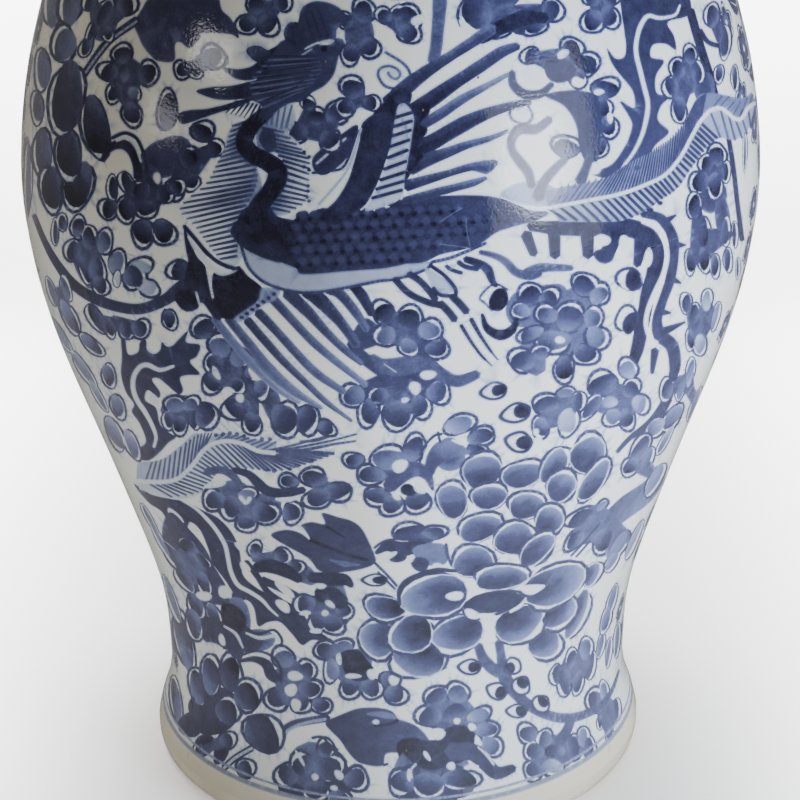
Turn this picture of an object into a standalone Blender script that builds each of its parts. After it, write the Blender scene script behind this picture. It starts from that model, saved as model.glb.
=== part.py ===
"""A tall covered baluster jar in blue-and-white porcelain, built from thrown sections luted end to end.

Metres, +Z up. The origin is the centre of the ring that the foot stands on.
The jar is one rigid body of luted sections, and the cover another: it lifts straight off along +Z.
"""

import math

import bmesh
import bpy

# Driving dimensions of the jar
BELLY_RADIUS = 0.160
BELLY_HEIGHT = 0.288
WAIST_RADIUS = 0.1037
WAIST_HEIGHT = 0.047
FOOT_RADIUS = 0.1105
MOUTH_HEIGHT = 0.486
NECK_RADIUS = 0.075
NECK_HEIGHT = 0.042

# Driving dimensions of the cover
COVER_RADIUS = 0.099
COVER_DOME_RADIUS = 0.080
COVER_DOME_HEIGHT = 0.070
KNOB_RADIUS = 0.024
KNOB_HEIGHT = 0.060

# Wall thicknesses and clearances
BODY_WALL = 0.0085
LOWER_WALL = 0.0115
NECK_WALL = 0.0070
COVER_WALL = 0.0065
SLIP_GAP = 0.0003  # the film of slip left between two luted faces
COVER_PLAY = 0.0025  # between the cover's locating ring and the neck's bore

# How finely a round piece is turned
TURN_STEPS = 48
SPAN_STEPS = 3

NECK_ROOT = MOUTH_HEIGHT - NECK_HEIGHT
NECK_BORE = NECK_RADIUS - NECK_WALL

# The outer profile as (radius, height) stations. The curve through them is the thrown shape.
FOOT_STATION = (FOOT_RADIUS, 0.0105)
LOWER_SEAM = (0.1275, 0.150)
UPPER_SEAM = (BELLY_RADIUS, BELLY_HEIGHT)
NECK_STATION = (NECK_RADIUS + 0.002, NECK_ROOT)
BODY_STATIONS = [
    FOOT_STATION,
    (0.1086, 0.0185),
    (0.1047, 0.0310),
    (WAIST_RADIUS, WAIST_HEIGHT),
    (0.1080, 0.0880),
    LOWER_SEAM,
    (0.1482, 0.2100),
    (0.1575, 0.2500),
    UPPER_SEAM,
    (0.1536, 0.3360),
    (0.1375, 0.3850),
    (0.1140, 0.4200),
    NECK_STATION,
]

# The foot ring stands on a narrow flat, rounded in on both sides
FOOT_TOP = FOOT_STATION[1] - SLIP_GAP
FOOT_INNER_RADIUS = 0.086
FOOT_FLAT_INNER = 0.0950
FOOT_FLAT_OUTER = 0.1050
FOOT_EDGE_RISE = 0.0030

LIP_ROUND = 0.0015

BASE_THICKNESS = 0.0130
BASE_RADIUS = 0.0900
BASE_DISH = 0.0030  # the floor is thrown a little thinner at its centre

BAND_HALF_HEIGHT = 0.0090
BAND_THICKNESS = 0.0030

# The cover's own heights start at its seat, the flat that rests on the mouth
COVER_SEAT = MOUTH_HEIGHT + SLIP_GAP
RING_DEPTH = 0.0220
RING_WALL = 0.0060
RING_RADIUS = NECK_BORE - COVER_PLAY
BRIM_THICKNESS = 0.0060
BRIM_ROUND = 0.0020
COLLAR_HEIGHT = 0.0140
COLLAR_RADIUS = 0.0190
COLLAR_NECK = 0.0115

# Finishes as a name, a base colour and a roughness
CLEAR_GLAZE = ("clear_glaze", (0.80, 0.82, 0.84), 0.12)
BISCUIT = ("biscuit", (0.72, 0.60, 0.47), 0.75)
PAINTED_GLAZE = ("painted_glaze", (0.42, 0.48, 0.66), 0.12)


def clear_scene():
    for obj in list(bpy.data.objects):
        bpy.data.objects.remove(obj)


def make_material(piece, finish):
    name, colour, roughness = finish
    material = bpy.data.materials.new(f"{piece}_{name}")
    material.use_nodes = True
    shader = material.node_tree.nodes["Principled BSDF"]
    shader.inputs["Base Color"].default_value = (*colour, 1.0)
    shader.inputs["Roughness"].default_value = roughness
    shader.inputs["Metallic"].default_value = 0.0
    return material


def smooth_through(stations, steps=SPAN_STEPS):
    """Points along a Catmull-Rom curve through the stations, as one list per span."""
    first = [2 * a - b for a, b in zip(stations[0], stations[1])]
    last = [2 * a - b for a, b in zip(stations[-1], stations[-2])]
    held = [first, *stations, last]
    spans = []
    for before, start, end, after in zip(held, held[1:], held[2:], held[3:]):
        span = []
        for step in range(steps):
            t = step / steps
            point = []
            for a, b, c, d in zip(before, start, end, after):
                bend = (2 * a - 5 * b + 4 * c - d) * t + (3 * b - a - 3 * c + d) * t * t
                point.append(b + 0.5 * t * (c - a + bend))
            span.append(tuple(point))
        spans.append(span)
    return spans


def body_curve(low, high):
    """The outer profile from one station to another, from the bottom up."""
    spans = smooth_through(BODY_STATIONS)
    first, last = BODY_STATIONS.index(low), BODY_STATIONS.index(high)
    return [point for span in spans[first:last] for point in span] + [high]


def wall_inside(outer, wall, bore=0.0):
    """The inner side of a thrown wall at the same heights, as thick as wall square to the surface."""
    inner = []
    for i, (radius, height) in enumerate(outer):
        below, above = outer[max(i - 1, 0)], outer[min(i + 1, len(outer) - 1)]
        rise = above[1] - below[1]
        run = above[0] - below[0]
        across = wall * math.hypot(rise, run) / rise
        inner.append((max(radius - across, bore), height))
    return inner


def turned(name, profile, finish, holder, closed=True):
    """A piece turned about Z from a profile of (radius, height) that runs down its outer side."""
    mesh = bpy.data.meshes.new(name)
    shape = bmesh.new()
    points = [shape.verts.new((radius, 0.0, height)) for radius, height in profile]
    for a, b in zip(points, points[1:]):
        shape.edges.new((a, b))
    if closed:
        shape.edges.new((points[-1], points[0]))
    shape.to_mesh(mesh)
    shape.free()
    obj = bpy.data.objects.new(name, mesh)
    obj.parent = holder
    holder.users_collection[0].objects.link(obj)
    obj.data.materials.append(make_material(name, finish))
    screw = obj.modifiers.new("turn", "SCREW")
    screw.axis = "Z"
    screw.angle = 2 * math.pi
    screw.steps = TURN_STEPS
    screw.render_steps = TURN_STEPS
    screw.use_merge_vertices = True
    screw.merge_threshold = 1e-6
    screw.use_smooth_shade = True
    return obj


def thrown_section(name, low, high, wall, holder, bore=0.0):
    """One thrown length of the body between two stations, less a slip film at the top."""
    outer = body_curve(low, high)
    outer[-1] = (outer[-1][0], outer[-1][1] - SLIP_GAP)
    inner = wall_inside(outer, wall, bore)
    return turned(name, outer[::-1] + inner, PAINTED_GLAZE, holder)


def luting_band(name, height, wall_below, wall_above, holder):
    """The fillet of clay pressed over a seam on the inside of the wall, where two sections meet."""
    outer = body_curve(FOOT_STATION, NECK_STATION)
    below = wall_inside(outer, wall_below)
    above = wall_inside(outer, wall_above)
    top = height + BAND_HALF_HEIGHT
    bottom = height - BAND_HALF_HEIGHT
    middle_seat = min(radius_at(below, height), radius_at(above, height)) - SLIP_GAP
    profile = [
        (radius_at(above, top) - SLIP_GAP, top),
        (middle_seat, height),
        (radius_at(below, bottom) - SLIP_GAP, bottom),
        (middle_seat - BAND_THICKNESS, height),
    ]
    return turned(name, profile, BISCUIT, holder)


def radius_at(curve, height):
    """The radius of a curve of (radius, height) points at one height."""
    for (r0, z0), (r1, z1) in zip(curve, curve[1:]):
        if z0 <= height <= z1:
            return r0 + (r1 - r0) * (height - z0) / (z1 - z0)
    raise ValueError(f"no part of the curve is at height {height}")


def foot_ring(holder):
    profile = [
        (FOOT_RADIUS, FOOT_TOP),
        (FOOT_FLAT_OUTER + FOOT_EDGE_RISE, FOOT_EDGE_RISE),
        (FOOT_FLAT_OUTER, 0.0),
        (FOOT_FLAT_INNER, 0.0),
        (FOOT_INNER_RADIUS, FOOT_TOP),
    ]
    return turned("foot_ring", profile, BISCUIT, holder)


def base_floor(holder):
    bottom = FOOT_STATION[1]
    top = bottom + BASE_THICKNESS
    profile = [
        (0.0, top - BASE_DISH),
        (0.6 * BASE_RADIUS, top - 0.6 * BASE_DISH),
        (BASE_RADIUS, top),
        (BASE_RADIUS, bottom),
        (0.0, bottom),
    ]
    return turned("base_floor", profile, CLEAR_GLAZE, holder, closed=False)


def neck(holder):
    """The short neck, drawn in a little at its middle, with a rounded lip at the mouth."""
    drawn_in = (NECK_RADIUS - LIP_ROUND, NECK_ROOT + 0.45 * NECK_HEIGHT)
    profile = [
        (NECK_RADIUS - LIP_ROUND, MOUTH_HEIGHT),
        (NECK_RADIUS, MOUTH_HEIGHT - LIP_ROUND),
        drawn_in,
        NECK_STATION,
        (NECK_BORE, NECK_ROOT),
        (NECK_BORE, MOUTH_HEIGHT - LIP_ROUND),
        (NECK_BORE + LIP_ROUND, MOUTH_HEIGHT),
    ]
    return turned("neck", profile, PAINTED_GLAZE, holder)


def cover_dome(holder):
    """The cover's dome and brim, thrown as one shell with a flat underside round the mouth."""
    top = COVER_DOME_HEIGHT
    dome_stations = [
        (0.0, top),
        (0.0260, top - 0.0030),
        (0.0560, top - 0.0200),
        (COVER_DOME_RADIUS - 0.0060, 0.0240),
        (COVER_DOME_RADIUS, BRIM_THICKNESS + 0.0030),
    ]
    outer = [point for span in smooth_through(dome_stations, 2) for point in span]
    brim = [
        (COVER_DOME_RADIUS + 0.0030, BRIM_THICKNESS),
        (COVER_RADIUS - BRIM_ROUND, BRIM_THICKNESS),
        (COVER_RADIUS, BRIM_THICKNESS - BRIM_ROUND),
        (COVER_RADIUS - BRIM_ROUND, 0.0),
    ]
    hollow = RING_RADIUS - RING_WALL
    inner = [
        (hollow, 0.0),
        (hollow, 0.0160),
        (0.0500, top - 0.0270),
        (0.0240, top - COVER_WALL - 0.0035),
        (0.0, top - COVER_WALL),
    ]
    return turned("cover_dome", outer + brim + inner, PAINTED_GLAZE, holder, closed=False)


def locating_ring(holder):
    """The ring under the cover that drops into the neck and keeps the cover central."""
    top = -SLIP_GAP
    bottom = top - RING_DEPTH
    profile = [
        (RING_RADIUS, top),
        (RING_RADIUS, bottom + LIP_ROUND),
        (RING_RADIUS - LIP_ROUND, bottom),
        (RING_RADIUS - RING_WALL, bottom),
        (RING_RADIUS - RING_WALL, top),
    ]
    return turned("cover_locating_ring", profile, BISCUIT, holder)


def knob_collar(holder):
    """The turned collar that carries the knob: a round foot drawn in to a short stem."""
    bottom = COVER_DOME_HEIGHT + SLIP_GAP
    top = bottom + COLLAR_HEIGHT
    profile = [
        (0.0, top),
        (COLLAR_NECK + 0.0010, top),
        (COLLAR_NECK, top - 0.0050),
        (COLLAR_RADIUS - 0.0030, bottom + 0.0050),
        (COLLAR_RADIUS, bottom + 0.0030),
        (COLLAR_RADIUS - 0.0010, bottom),
        (0.0, bottom),
    ]
    return turned("knob_collar", profile, PAINTED_GLAZE, holder, closed=False)


def knob_bud(holder):
    """The bud finial: a full round body that draws up to a small tip."""
    bottom = COVER_DOME_HEIGHT + COLLAR_HEIGHT + 2 * SLIP_GAP
    span = KNOB_HEIGHT - COLLAR_HEIGHT
    stations = [
        (0.0, bottom + span),
        (0.0030, bottom + 0.93 * span),
        (0.0080, bottom + 0.80 * span),
        (KNOB_RADIUS - 0.0040, bottom + 0.66 * span),
        (KNOB_RADIUS, bottom + 0.40 * span),
        (KNOB_RADIUS - 0.0050, bottom + 0.14 * span),
        (COLLAR_NECK, bottom),
    ]
    outer = [point for part in smooth_through(stations, 2) for point in part]
    profile = outer + [stations[-1], (0.0, bottom)]
    return turned("knob_bud", profile, PAINTED_GLAZE, holder, closed=False)


def make_holder(name, height, collection):
    """An empty on the jar's axis that carries the pieces of one rigid body."""
    holder = bpy.data.objects.new(name, None)
    holder.location = (0.0, 0.0, height)
    collection.objects.link(holder)
    return holder


def main():
    clear_scene()
    collection = bpy.data.collections.new("covered_baluster_jar")
    bpy.context.scene.collection.children.link(collection)

    jar = make_holder("jar", 0.0, collection)
    foot_ring(jar)
    base_floor(jar)
    thrown_section("lower_body", FOOT_STATION, LOWER_SEAM, LOWER_WALL, jar)
    thrown_section("middle_body", LOWER_SEAM, UPPER_SEAM, BODY_WALL, jar)
    thrown_section("shoulder", UPPER_SEAM, NECK_STATION, BODY_WALL, jar, NECK_BORE)
    neck(jar)
    luting_band("lower_luting_band", LOWER_SEAM[1], LOWER_WALL, BODY_WALL, jar)
    luting_band("upper_luting_band", UPPER_SEAM[1], BODY_WALL, BODY_WALL, jar)

    cover = make_holder("cover_lift_axis", COVER_SEAT, collection)
    cover_dome(cover)
    locating_ring(cover)
    knob_collar(cover)
    knob_bud(cover)


main()
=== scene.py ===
"""The looks of a covered blue-and-white porcelain jar.

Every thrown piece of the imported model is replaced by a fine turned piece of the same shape. The painting is
a list of brush marks. They are laid out on the unrolled jar, cut into its surface as a mesh, and each face
takes the depth of cobalt of the topmost mark over it.
"""

import math

import bpy
import numpy as np
from mathutils import Matrix, Vector
from mathutils.geometry import delaunay_2d_cdt


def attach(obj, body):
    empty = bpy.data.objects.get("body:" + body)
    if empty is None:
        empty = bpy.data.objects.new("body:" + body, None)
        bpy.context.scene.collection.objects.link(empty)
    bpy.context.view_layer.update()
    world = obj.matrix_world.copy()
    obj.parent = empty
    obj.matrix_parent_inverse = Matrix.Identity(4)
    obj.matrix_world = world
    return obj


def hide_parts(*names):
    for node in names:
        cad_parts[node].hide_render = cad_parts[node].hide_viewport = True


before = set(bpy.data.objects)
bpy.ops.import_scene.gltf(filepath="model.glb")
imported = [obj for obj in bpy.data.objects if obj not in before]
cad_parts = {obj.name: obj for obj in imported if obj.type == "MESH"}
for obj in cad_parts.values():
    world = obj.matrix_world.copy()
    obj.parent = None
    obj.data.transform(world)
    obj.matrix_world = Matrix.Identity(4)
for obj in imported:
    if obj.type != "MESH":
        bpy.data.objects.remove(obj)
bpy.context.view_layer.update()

MM = 0.001

# The camera of the photograph
PICTURE = 800  # pixels along each side of the picture
SENSOR = 36.0
FOCAL_PIXELS = 3947.0
CAMERA_BACK = 1.6
CAMERA_HEIGHT = 0.9127
CAMERA_PITCH = 25.03
CAMERA_ROLL = -0.767
AXIS_PIXEL = 393.8  # the picture column that the lens points at

# The unrolled jar: millimetres round the jar at its mean girth, and millimetres up its wall
GIRTH = 880.0
GRID = 9.4  # spacing of the net of points over it
WELD = 100  # points within 1 / WELD of a millimetre of each other become one
LINING_SEGMENTS = 96  # sides of the rings inside a painted piece
TURNED_SEGMENTS = 144  # sides of a piece that is turned without painting

# The bake map: the unrolled wall lies in strips one above the other, over a margin for the unpainted faces
BAKE_STRIPS = 3
BAKE_MARGIN = 0.05
STRIP_FILL = 0.97  # the share of its strip's height that the wall fills
BAKE_SPOT = (0.5, 0.01)  # where all unpainted faces lie

# Cobalt that spreads under the glaze past the edge of a brush mark
BLEED = 0.9
BLEED_SHARE = 0.6
LONG_EDGE = 7.0  # an edge of a mark that is longer gets more points beside it

# A camera ray is searched for the jar between these distances from the lens, in millimetres
RAY_START = 1380.0
RAY_END = 2050.0
RAY_STEPS = 260

TINY = 1e-9
NEAR = 1e-3  # lengths below this count as nothing, in millimetres


def make_camera():
    """The camera of the photograph, as fitted to the outline of the jar in it."""
    data = bpy.data.cameras.new("photo_camera")
    data.sensor_width = SENSOR
    data.lens = SENSOR * FOCAL_PIXELS / PICTURE
    data.shift_x = 0.5 - AXIS_PIXEL / PICTURE
    data.clip_end = 50.0
    camera = bpy.data.objects.new("photo_camera", data)
    tilt = Matrix.Rotation(math.radians(90 - CAMERA_PITCH), 4, "X")
    roll = Matrix.Rotation(math.radians(CAMERA_ROLL), 4, "Z")
    camera.matrix_world = Matrix.Translation((0, -CAMERA_BACK, CAMERA_HEIGHT)) @ tilt @ roll
    bpy.context.scene.collection.objects.link(camera)
    bpy.context.scene.camera = camera
    return camera


camera = make_camera()


def smooth(points, closed=False, steps=5):
    """A Catmull-Rom curve through the points. A point given twice makes a corner."""
    p = np.asarray(points, float)
    if closed:
        held = np.vstack([p[-1:], p, p[:2]])
    else:
        held = np.vstack([2 * p[:1] - p[1:2], p, 2 * p[-1:] - p[-2:-1]])
    a, b, c, d = held[:-3], held[1:-2], held[2:-1], held[3:]
    t = (np.arange(steps) / steps)[:, None, None]
    bend = (2 * a - 5 * b + 4 * c - d) * t**2 + (3 * b - a - 3 * c + d) * t**3
    curve = 0.5 * (2 * b + (c - a) * t + bend)
    curve = curve.transpose(1, 0, 2).reshape(-1, p.shape[1])
    return curve if closed else np.vstack([curve, p[-1:]])


def cad_rings(node):
    """Height, outer radius and inner radius, in millimetres, of each ring of a turned CAD node."""
    points = np.array([v.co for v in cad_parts[node].data.vertices]) / MM
    heights = np.round(points[:, 2], 1)
    radii = np.hypot(points[:, 0], points[:, 1])
    levels = np.unique(heights)
    outer = [radii[heights == level].max() for level in levels]
    inner = [radii[heights == level].min() for level in levels]
    return levels, np.array(outer), np.array(inner)


class Wall:
    """One turned outer wall: radius and height along its length from the bottom up, in millimetres."""

    def __init__(self, radii, heights):
        curve = smooth(np.column_stack([radii, heights]), steps=8)
        moves = np.concatenate([[True], np.hypot(*np.diff(curve, axis=0).T) > 1e-6])
        curve = curve[moves]
        self.radius, self.height = curve.T
        run = np.hypot(*np.diff(curve, axis=0).T)
        self.along = np.concatenate([[0.0], np.cumsum(run)])
        slope = np.gradient(curve, self.along, axis=0)
        self.lean = np.arctan2(-slope[:, 0], slope[:, 1])

    def length_at(self, height):
        """How far along the wall a height lies."""
        return np.interp(height, self.height, self.along)

    def place(self, sheet):
        """Points and outward directions in space of points on the unrolled wall."""
        angle = sheet[:, 0] * (2 * math.pi / GIRTH)
        radius = np.interp(sheet[:, 1], self.along, self.radius)
        height = np.interp(sheet[:, 1], self.along, self.height)
        lean = np.interp(sheet[:, 1], self.along, self.lean)
        around = np.column_stack([np.sin(angle), -np.cos(angle)])
        spot = np.column_stack([around * radius[:, None], height])
        out = np.column_stack([around * np.cos(lean)[:, None], np.sin(lean)])
        return spot, out


BODY_NODES = ["lower_body", "middle_body", "shoulder"]
THINNEST = 1.0  # no wall is thinner than this, in millimetres


def outer_rings(node):
    """The levels at which a thrown section has an outer ring, and the radius there.

    Its inside has more levels.
    """
    levels, outer, inner = cad_rings(node)
    walled = outer - inner > THINNEST
    return levels[walled], outer[walled]


def body_wall():
    """The jar's outer wall from the foot to the neck, as the CAD sections have it."""
    rings = [outer_rings(node) for node in BODY_NODES]
    heights = np.concatenate([r[0][: len(r[0]) - (i < 2)] for i, r in enumerate(rings)])
    radii = np.concatenate([r[1][: len(r[0]) - (i < 2)] for i, r in enumerate(rings)])
    return Wall(radii, heights)


body = body_wall()


def photo_to_sheet(pixels):
    """Where the sight line through each picture point meets the jar, on the unrolled wall."""
    pixels = np.asarray(pixels, float)
    reach = SENSOR / camera.data.lens
    across = (pixels[:, 0] / PICTURE - 0.5 + camera.data.shift_x) * reach
    up = (0.5 - pixels[:, 1] / PICTURE) * reach
    local = np.column_stack([across, up, -np.ones(len(pixels))])
    turn = np.array(camera.matrix_world)
    ray = local @ turn[:3, :3].T
    eye = turn[:3, 3] / MM
    depth = np.linspace(RAY_START, RAY_END, RAY_STEPS)
    spots = eye + ray[:, None, :] * depth[:, None]
    gap = np.hypot(spots[..., 0], spots[..., 1]) - np.interp(spots[..., 2], body.height, body.radius)
    hit = np.where((gap < 0).any(1), np.argmax(gap < 0, axis=1), np.argmin(gap, axis=1))
    row = np.arange(len(pixels))
    before = np.maximum(hit - 1, 0)
    step = gap[row, before] - gap[row, hit]
    share = np.clip(gap[row, before] / np.where(np.abs(step) < TINY, 1.0, step), 0, 1)
    spot = spots[row, before] + (spots[row, hit] - spots[row, before]) * share[:, None]
    angle = np.arctan2(spot[:, 0], -spot[:, 1])
    return np.column_stack([angle * GIRTH / (2 * math.pi), body.length_at(spot[:, 2])])


BRUSH_TIP = 0.7  # how far a brush line runs on at its ends, as a share of half its width


class Canvas:
    """Brush marks in drawing order, in picture units, with the way from those units to the unrolled jar."""

    def __init__(self, to_sheet):
        self.to_sheet = to_sheet
        self.marks = []

    def fill(self, outline, tone, fade=None, core=None):
        """A filled outline.

        fade gives a start point, an end point and the tone reached there. With a core, which is a share of
        the way to the end, the fade goes outwards from the start, and a third point says how far sideways.
        """
        start, end, last, *side = fade or ((0, 0), (1, 1), tone)
        points = np.array([start, end, side[0] if side else end], float)
        self.marks.append((np.asarray(outline, float), tone, last, points,
                           -1.0 if core is None else core))

    def patch(self, points, tone, fade=None):
        """A filled shape with a smooth edge through the points."""
        self.fill(smooth(points, closed=True), tone, fade)

    def stroke(self, points, width, tone, end_tone=None):
        """A brush line with rounded ends. width is one number, or several spread along the line."""
        line = smooth(points, steps=4) if len(points) > 2 else np.asarray(points, float)
        flow = np.gradient(line, axis=0)
        flow /= np.maximum(np.linalg.norm(flow, axis=1), TINY)[:, None]
        side = np.column_stack([-flow[:, 1], flow[:, 0]])
        widths = np.atleast_1d(np.asarray(width, float))
        half = 0.5 * np.interp(np.linspace(0, 1, len(line)), np.linspace(0, 1, len(widths)), widths)
        edge = side * half[:, None]
        tip = [line[-1] + flow[-1] * half[-1] * BRUSH_TIP]
        tail = [line[0] - flow[0] * half[0] * BRUSH_TIP]
        fade = None if end_tone is None else (line[0], line[-1], end_tone)
        self.fill(np.vstack([line + edge, tip, (line - edge)[::-1], tail]), tone, fade)

    def oval(self, centre, across, down, tone, tilt=0.0, fade=None):
        """A hand-drawn oval. tilt is in degrees, clockwise in the picture."""
        self.fill(self.round(centre, across, down, tilt), tone, fade)

    def soft_oval(self, centre, across, down, tone, edge_tone, tilt=0.0, deep=(0.0, 0.0), core=0.35):
        """An oval whose tone fades outwards from its core.

        deep says where the core lies, as shares of the oval's size.
        """
        ring = self.round(centre, across, down, tilt)
        c, s = math.cos(math.radians(tilt)), math.sin(math.radians(tilt))
        x, y = np.add(centre, np.multiply(deep, (across, down)))
        reach = 1.0 + math.hypot(*deep)
        way, side = reach * across * np.array([c, s]), reach * down * np.array([-s, c])
        fade = (x, y), (x + way[0], y + way[1]), edge_tone, (x + side[0], y + side[1])
        self.fill(ring, tone, fade, core)

    @staticmethod
    def round(centre, across, down, tilt):
        """The outline of an oval that wavers as a hand does. A small one needs fewer points."""
        size = max(across, down)
        count = 10 if size < 5 else 13 if size < 11 else 15
        turn = np.linspace(0, 2 * math.pi, count, endpoint=False)
        wobble = 1.0 + 0.08 * np.sin(2 * turn + centre[0]) + 0.06 * np.sin(3 * turn + 2 * centre[1])
        x, y = across * wobble * np.cos(turn), down * wobble * np.sin(turn)
        c, s = math.cos(math.radians(tilt)), math.sin(math.radians(tilt))
        return np.column_stack([centre[0] + x * c - y * s, centre[1] + x * s + y * c])

    def barbs(self, starts, ends, count, width, tone, end_tone=None):
        """Brush lines side by side, from one curve to another."""
        places = np.linspace(0, 1, count)
        rows = []
        for points in (starts, ends):
            curve = smooth(points)
            steps = np.linspace(0, 1, len(curve))
            rows.append(np.column_stack([np.interp(places, steps, c) for c in curve.T]))
        for a, b in zip(*rows):
            self.stroke([a, b], width, tone, end_tone)

    def on_sheet(self):
        """The marks on the unrolled jar, as (outline, tone, last tone, fade points, core)."""
        sizes = [len(mark[0]) for mark in self.marks]
        sheet = self.to_sheet(np.vstack([mark[0] for mark in self.marks]))
        fades = self.to_sheet(np.vstack([mark[3] for mark in self.marks])).reshape(-1, 3, 2)
        outlines = np.split(sheet, np.cumsum(sizes)[:-1])
        return [(o, m[1], m[2], f, m[4]) for o, m, f in zip(outlines, self.marks, fades)]


def winding(outline, points):
    """How many times the outline goes round each point."""
    x0, y0 = outline.T
    x1, y1 = np.roll(outline, -1, axis=0).T
    px, py = points[:, 0, None], points[:, 1, None]
    side = (x1 - x0) * (py - y0) - (px - x0) * (y1 - y0)
    up = (y0 <= py) & (y1 > py) & (side > 0)
    down = (y0 > py) & (y1 <= py) & (side < 0)
    return up.sum(1) - down.sum(1)


def sheet_net(rows):
    """Grid points over the unrolled wall, with the lines that pieces and bake strips are cut along."""
    columns = int(GIRTH / GRID) // (2 * BAKE_STRIPS) * (2 * BAKE_STRIPS)
    across = np.linspace(-GIRTH / 2, GIRTH / 2, columns + 1)
    levels = np.concatenate([np.linspace(a, b, max(2, int((b - a) / GRID) + 1))[:-1]
                             for a, b in zip(rows, rows[1:])] + [[rows[-1]]])
    points = [(x, y) for y in levels for x in across]
    wide = columns + 1
    edges = []
    for row in rows:
        first = int(np.argmin(np.abs(levels - row))) * wide
        edges += [(first + i, first + i + 1) for i in range(columns)]
    for strip in range(BAKE_STRIPS + 1):
        column = strip * columns // BAKE_STRIPS
        edges += [(i * wide + column, (i + 1) * wide + column) for i in range(len(levels) - 1)]
    return points, edges


def triangulate(points, edges, rows):
    """Points and triangles of the unrolled wall, with the edges kept."""
    made = delaunay_2d_cdt([Vector(p) for p in points], edges, [], 0, NEAR, False)
    spots, faces = np.array([tuple(v) for v in made[0]]), np.array(made[2])
    centre = spots[faces].mean(1)
    inside = (np.abs(centre[:, 0]) < GIRTH / 2) & (centre[:, 1] > rows[0]) & (centre[:, 1] < rows[-1])
    return spots, faces[inside]


def seen_edges(faces, top, count):
    """The edges between faces that show different marks, as pairs of points."""
    pairs = np.sort(np.concatenate([faces[:, [0, 1]], faces[:, [1, 2]], faces[:, [2, 0]]]), axis=1)
    key = pairs[:, 0].astype(np.int64) * count + pairs[:, 1]
    mark = np.tile(top, 3)
    order = np.argsort(key, kind="stable")
    key, mark, pairs = key[order], mark[order], pairs[order]
    shared = (key[:-1] == key[1:]) & (mark[:-1] != mark[1:])
    return pairs[:-1][shared]


def cut_sheet(marks, rows):
    """Cuts the unrolled wall along what shows of every mark.

    All marks are cut in first, to find the topmost one everywhere. Then only the edges that show are cut,
    with points beside them that hold the bleed near. Returns points, triangles and corner tones.
    """
    laid = []
    for outline, tone, last, fade, core in marks:
        for shift in (-GIRTH, 0.0, GIRTH):
            moved = outline + (shift, 0)
            if moved[:, 0].max() < -GIRTH / 2 or moved[:, 0].min() > GIRTH / 2:
                continue
            laid.append((moved, tone, last, fade + (shift, 0), core))
    net, net_edges = sheet_net(rows)
    points, edges = list(net), list(net_edges)
    for outline, *_ in laid:
        first, count = len(points), len(outline)
        points += [tuple(p) for p in outline]
        edges += [(first + i, first + (i + 1) % count) for i in range(count)]
    spots, faces = triangulate(points, edges, rows)
    top = topmost(laid, spots[faces].mean(1))
    seen = seen_edges(faces, top, len(spots))
    used, renumbered = np.unique(seen, return_inverse=True)
    renumbered = renumbered.reshape(-1, 2) + len(net)
    run = spots[seen[:, 1]] - spots[seen[:, 0]]
    length = np.hypot(*run.T)
    points = [*net, *map(tuple, spots[used])]
    for share, least in ((1 / 2, BLEED), (1 / 6, LONG_EDGE), (5 / 6, LONG_EDGE)):
        wide = length > least
        beside = np.column_stack([-run[wide, 1], run[wide, 0]]) * (BLEED / length[wide])[:, None]
        spot = spots[seen[wide, 0]] + share * run[wide]
        points += [*map(tuple, spot + beside), *map(tuple, spot - beside)]
    spots, faces = triangulate(points, net_edges + [tuple(map(int, pair)) for pair in renumbered], rows)
    top = topmost(laid, spots[faces].mean(1))
    return spots, faces, bleed(faces, corner_tones(laid, top, spots[faces]), len(spots))


def bleed(faces, tones, count):
    """Softens the edges of the marks, as cobalt does under a glaze.

    Each corner takes some of the mean tone at its point.
    """
    flat = faces.ravel()
    mean = np.bincount(flat, tones.ravel(), count) / np.maximum(np.bincount(flat, minlength=count), 1)
    return tones + (mean[faces] - tones) * BLEED_SHARE


def topmost(laid, centre):
    """The last mark drawn over each face, or -1."""
    bin_size = 8.0
    low = centre.min(0)
    cell = ((centre - low) / bin_size).astype(int)
    deep = int(cell[:, 1].max()) + 1
    key = cell[:, 0] * deep + cell[:, 1]
    order = np.argsort(key, kind="stable")
    key = key[order]
    top = np.full(len(centre), -1)
    for i, (outline, *_) in enumerate(laid):
        x0, y0 = np.maximum(((outline.min(0) - low) / bin_size).astype(int), 0)
        x1, y1 = ((outline.max(0) - low) / bin_size).astype(int)
        y1 = min(y1, deep - 1)
        if y1 < y0:
            continue
        near = [order[slice(*np.searchsorted(key, (x * deep + y0, x * deep + y1 + 1)))]
                for x in range(x0, x1 + 1)]
        near = np.concatenate(near)
        if len(near):
            top[near[winding(outline, centre[near]) != 0]] = i
    return top


def corner_tones(laid, top, corners):
    """The depth of cobalt at each corner of each face."""
    no_mark = (None, 0.0, 0.0, np.array([(0, 0), (1, 1), (1, 1)], float), -1.0)
    marks = [*laid, no_mark]
    first, last, core = (np.array([mark[i] for mark in marks])[top][:, None] for i in (1, 2, 4))
    fade = np.array([mark[3] for mark in marks])[top]
    way, side = fade[:, 1] - fade[:, 0], fade[:, 2] - fade[:, 0]
    away = corners - fade[:, :1]
    along = (away * way[:, None]).sum(2) / np.maximum((way**2).sum(1), TINY)[:, None]
    area = way[:, 0] * side[:, 1] - way[:, 1] * side[:, 0]
    area = np.where(np.abs(area) < TINY, TINY, area)[:, None]
    u = (away[..., 0] * side[:, None, 1] - away[..., 1] * side[:, None, 0]) / area
    v = (away[..., 1] * way[:, None, 0] - away[..., 0] * way[:, None, 1]) / area
    outward = (np.hypot(u, v) - core) / (1.0 - core)
    share = np.where(core < 0, along, outward)
    return first + (last - first) * np.clip(share, 0, 1)


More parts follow.
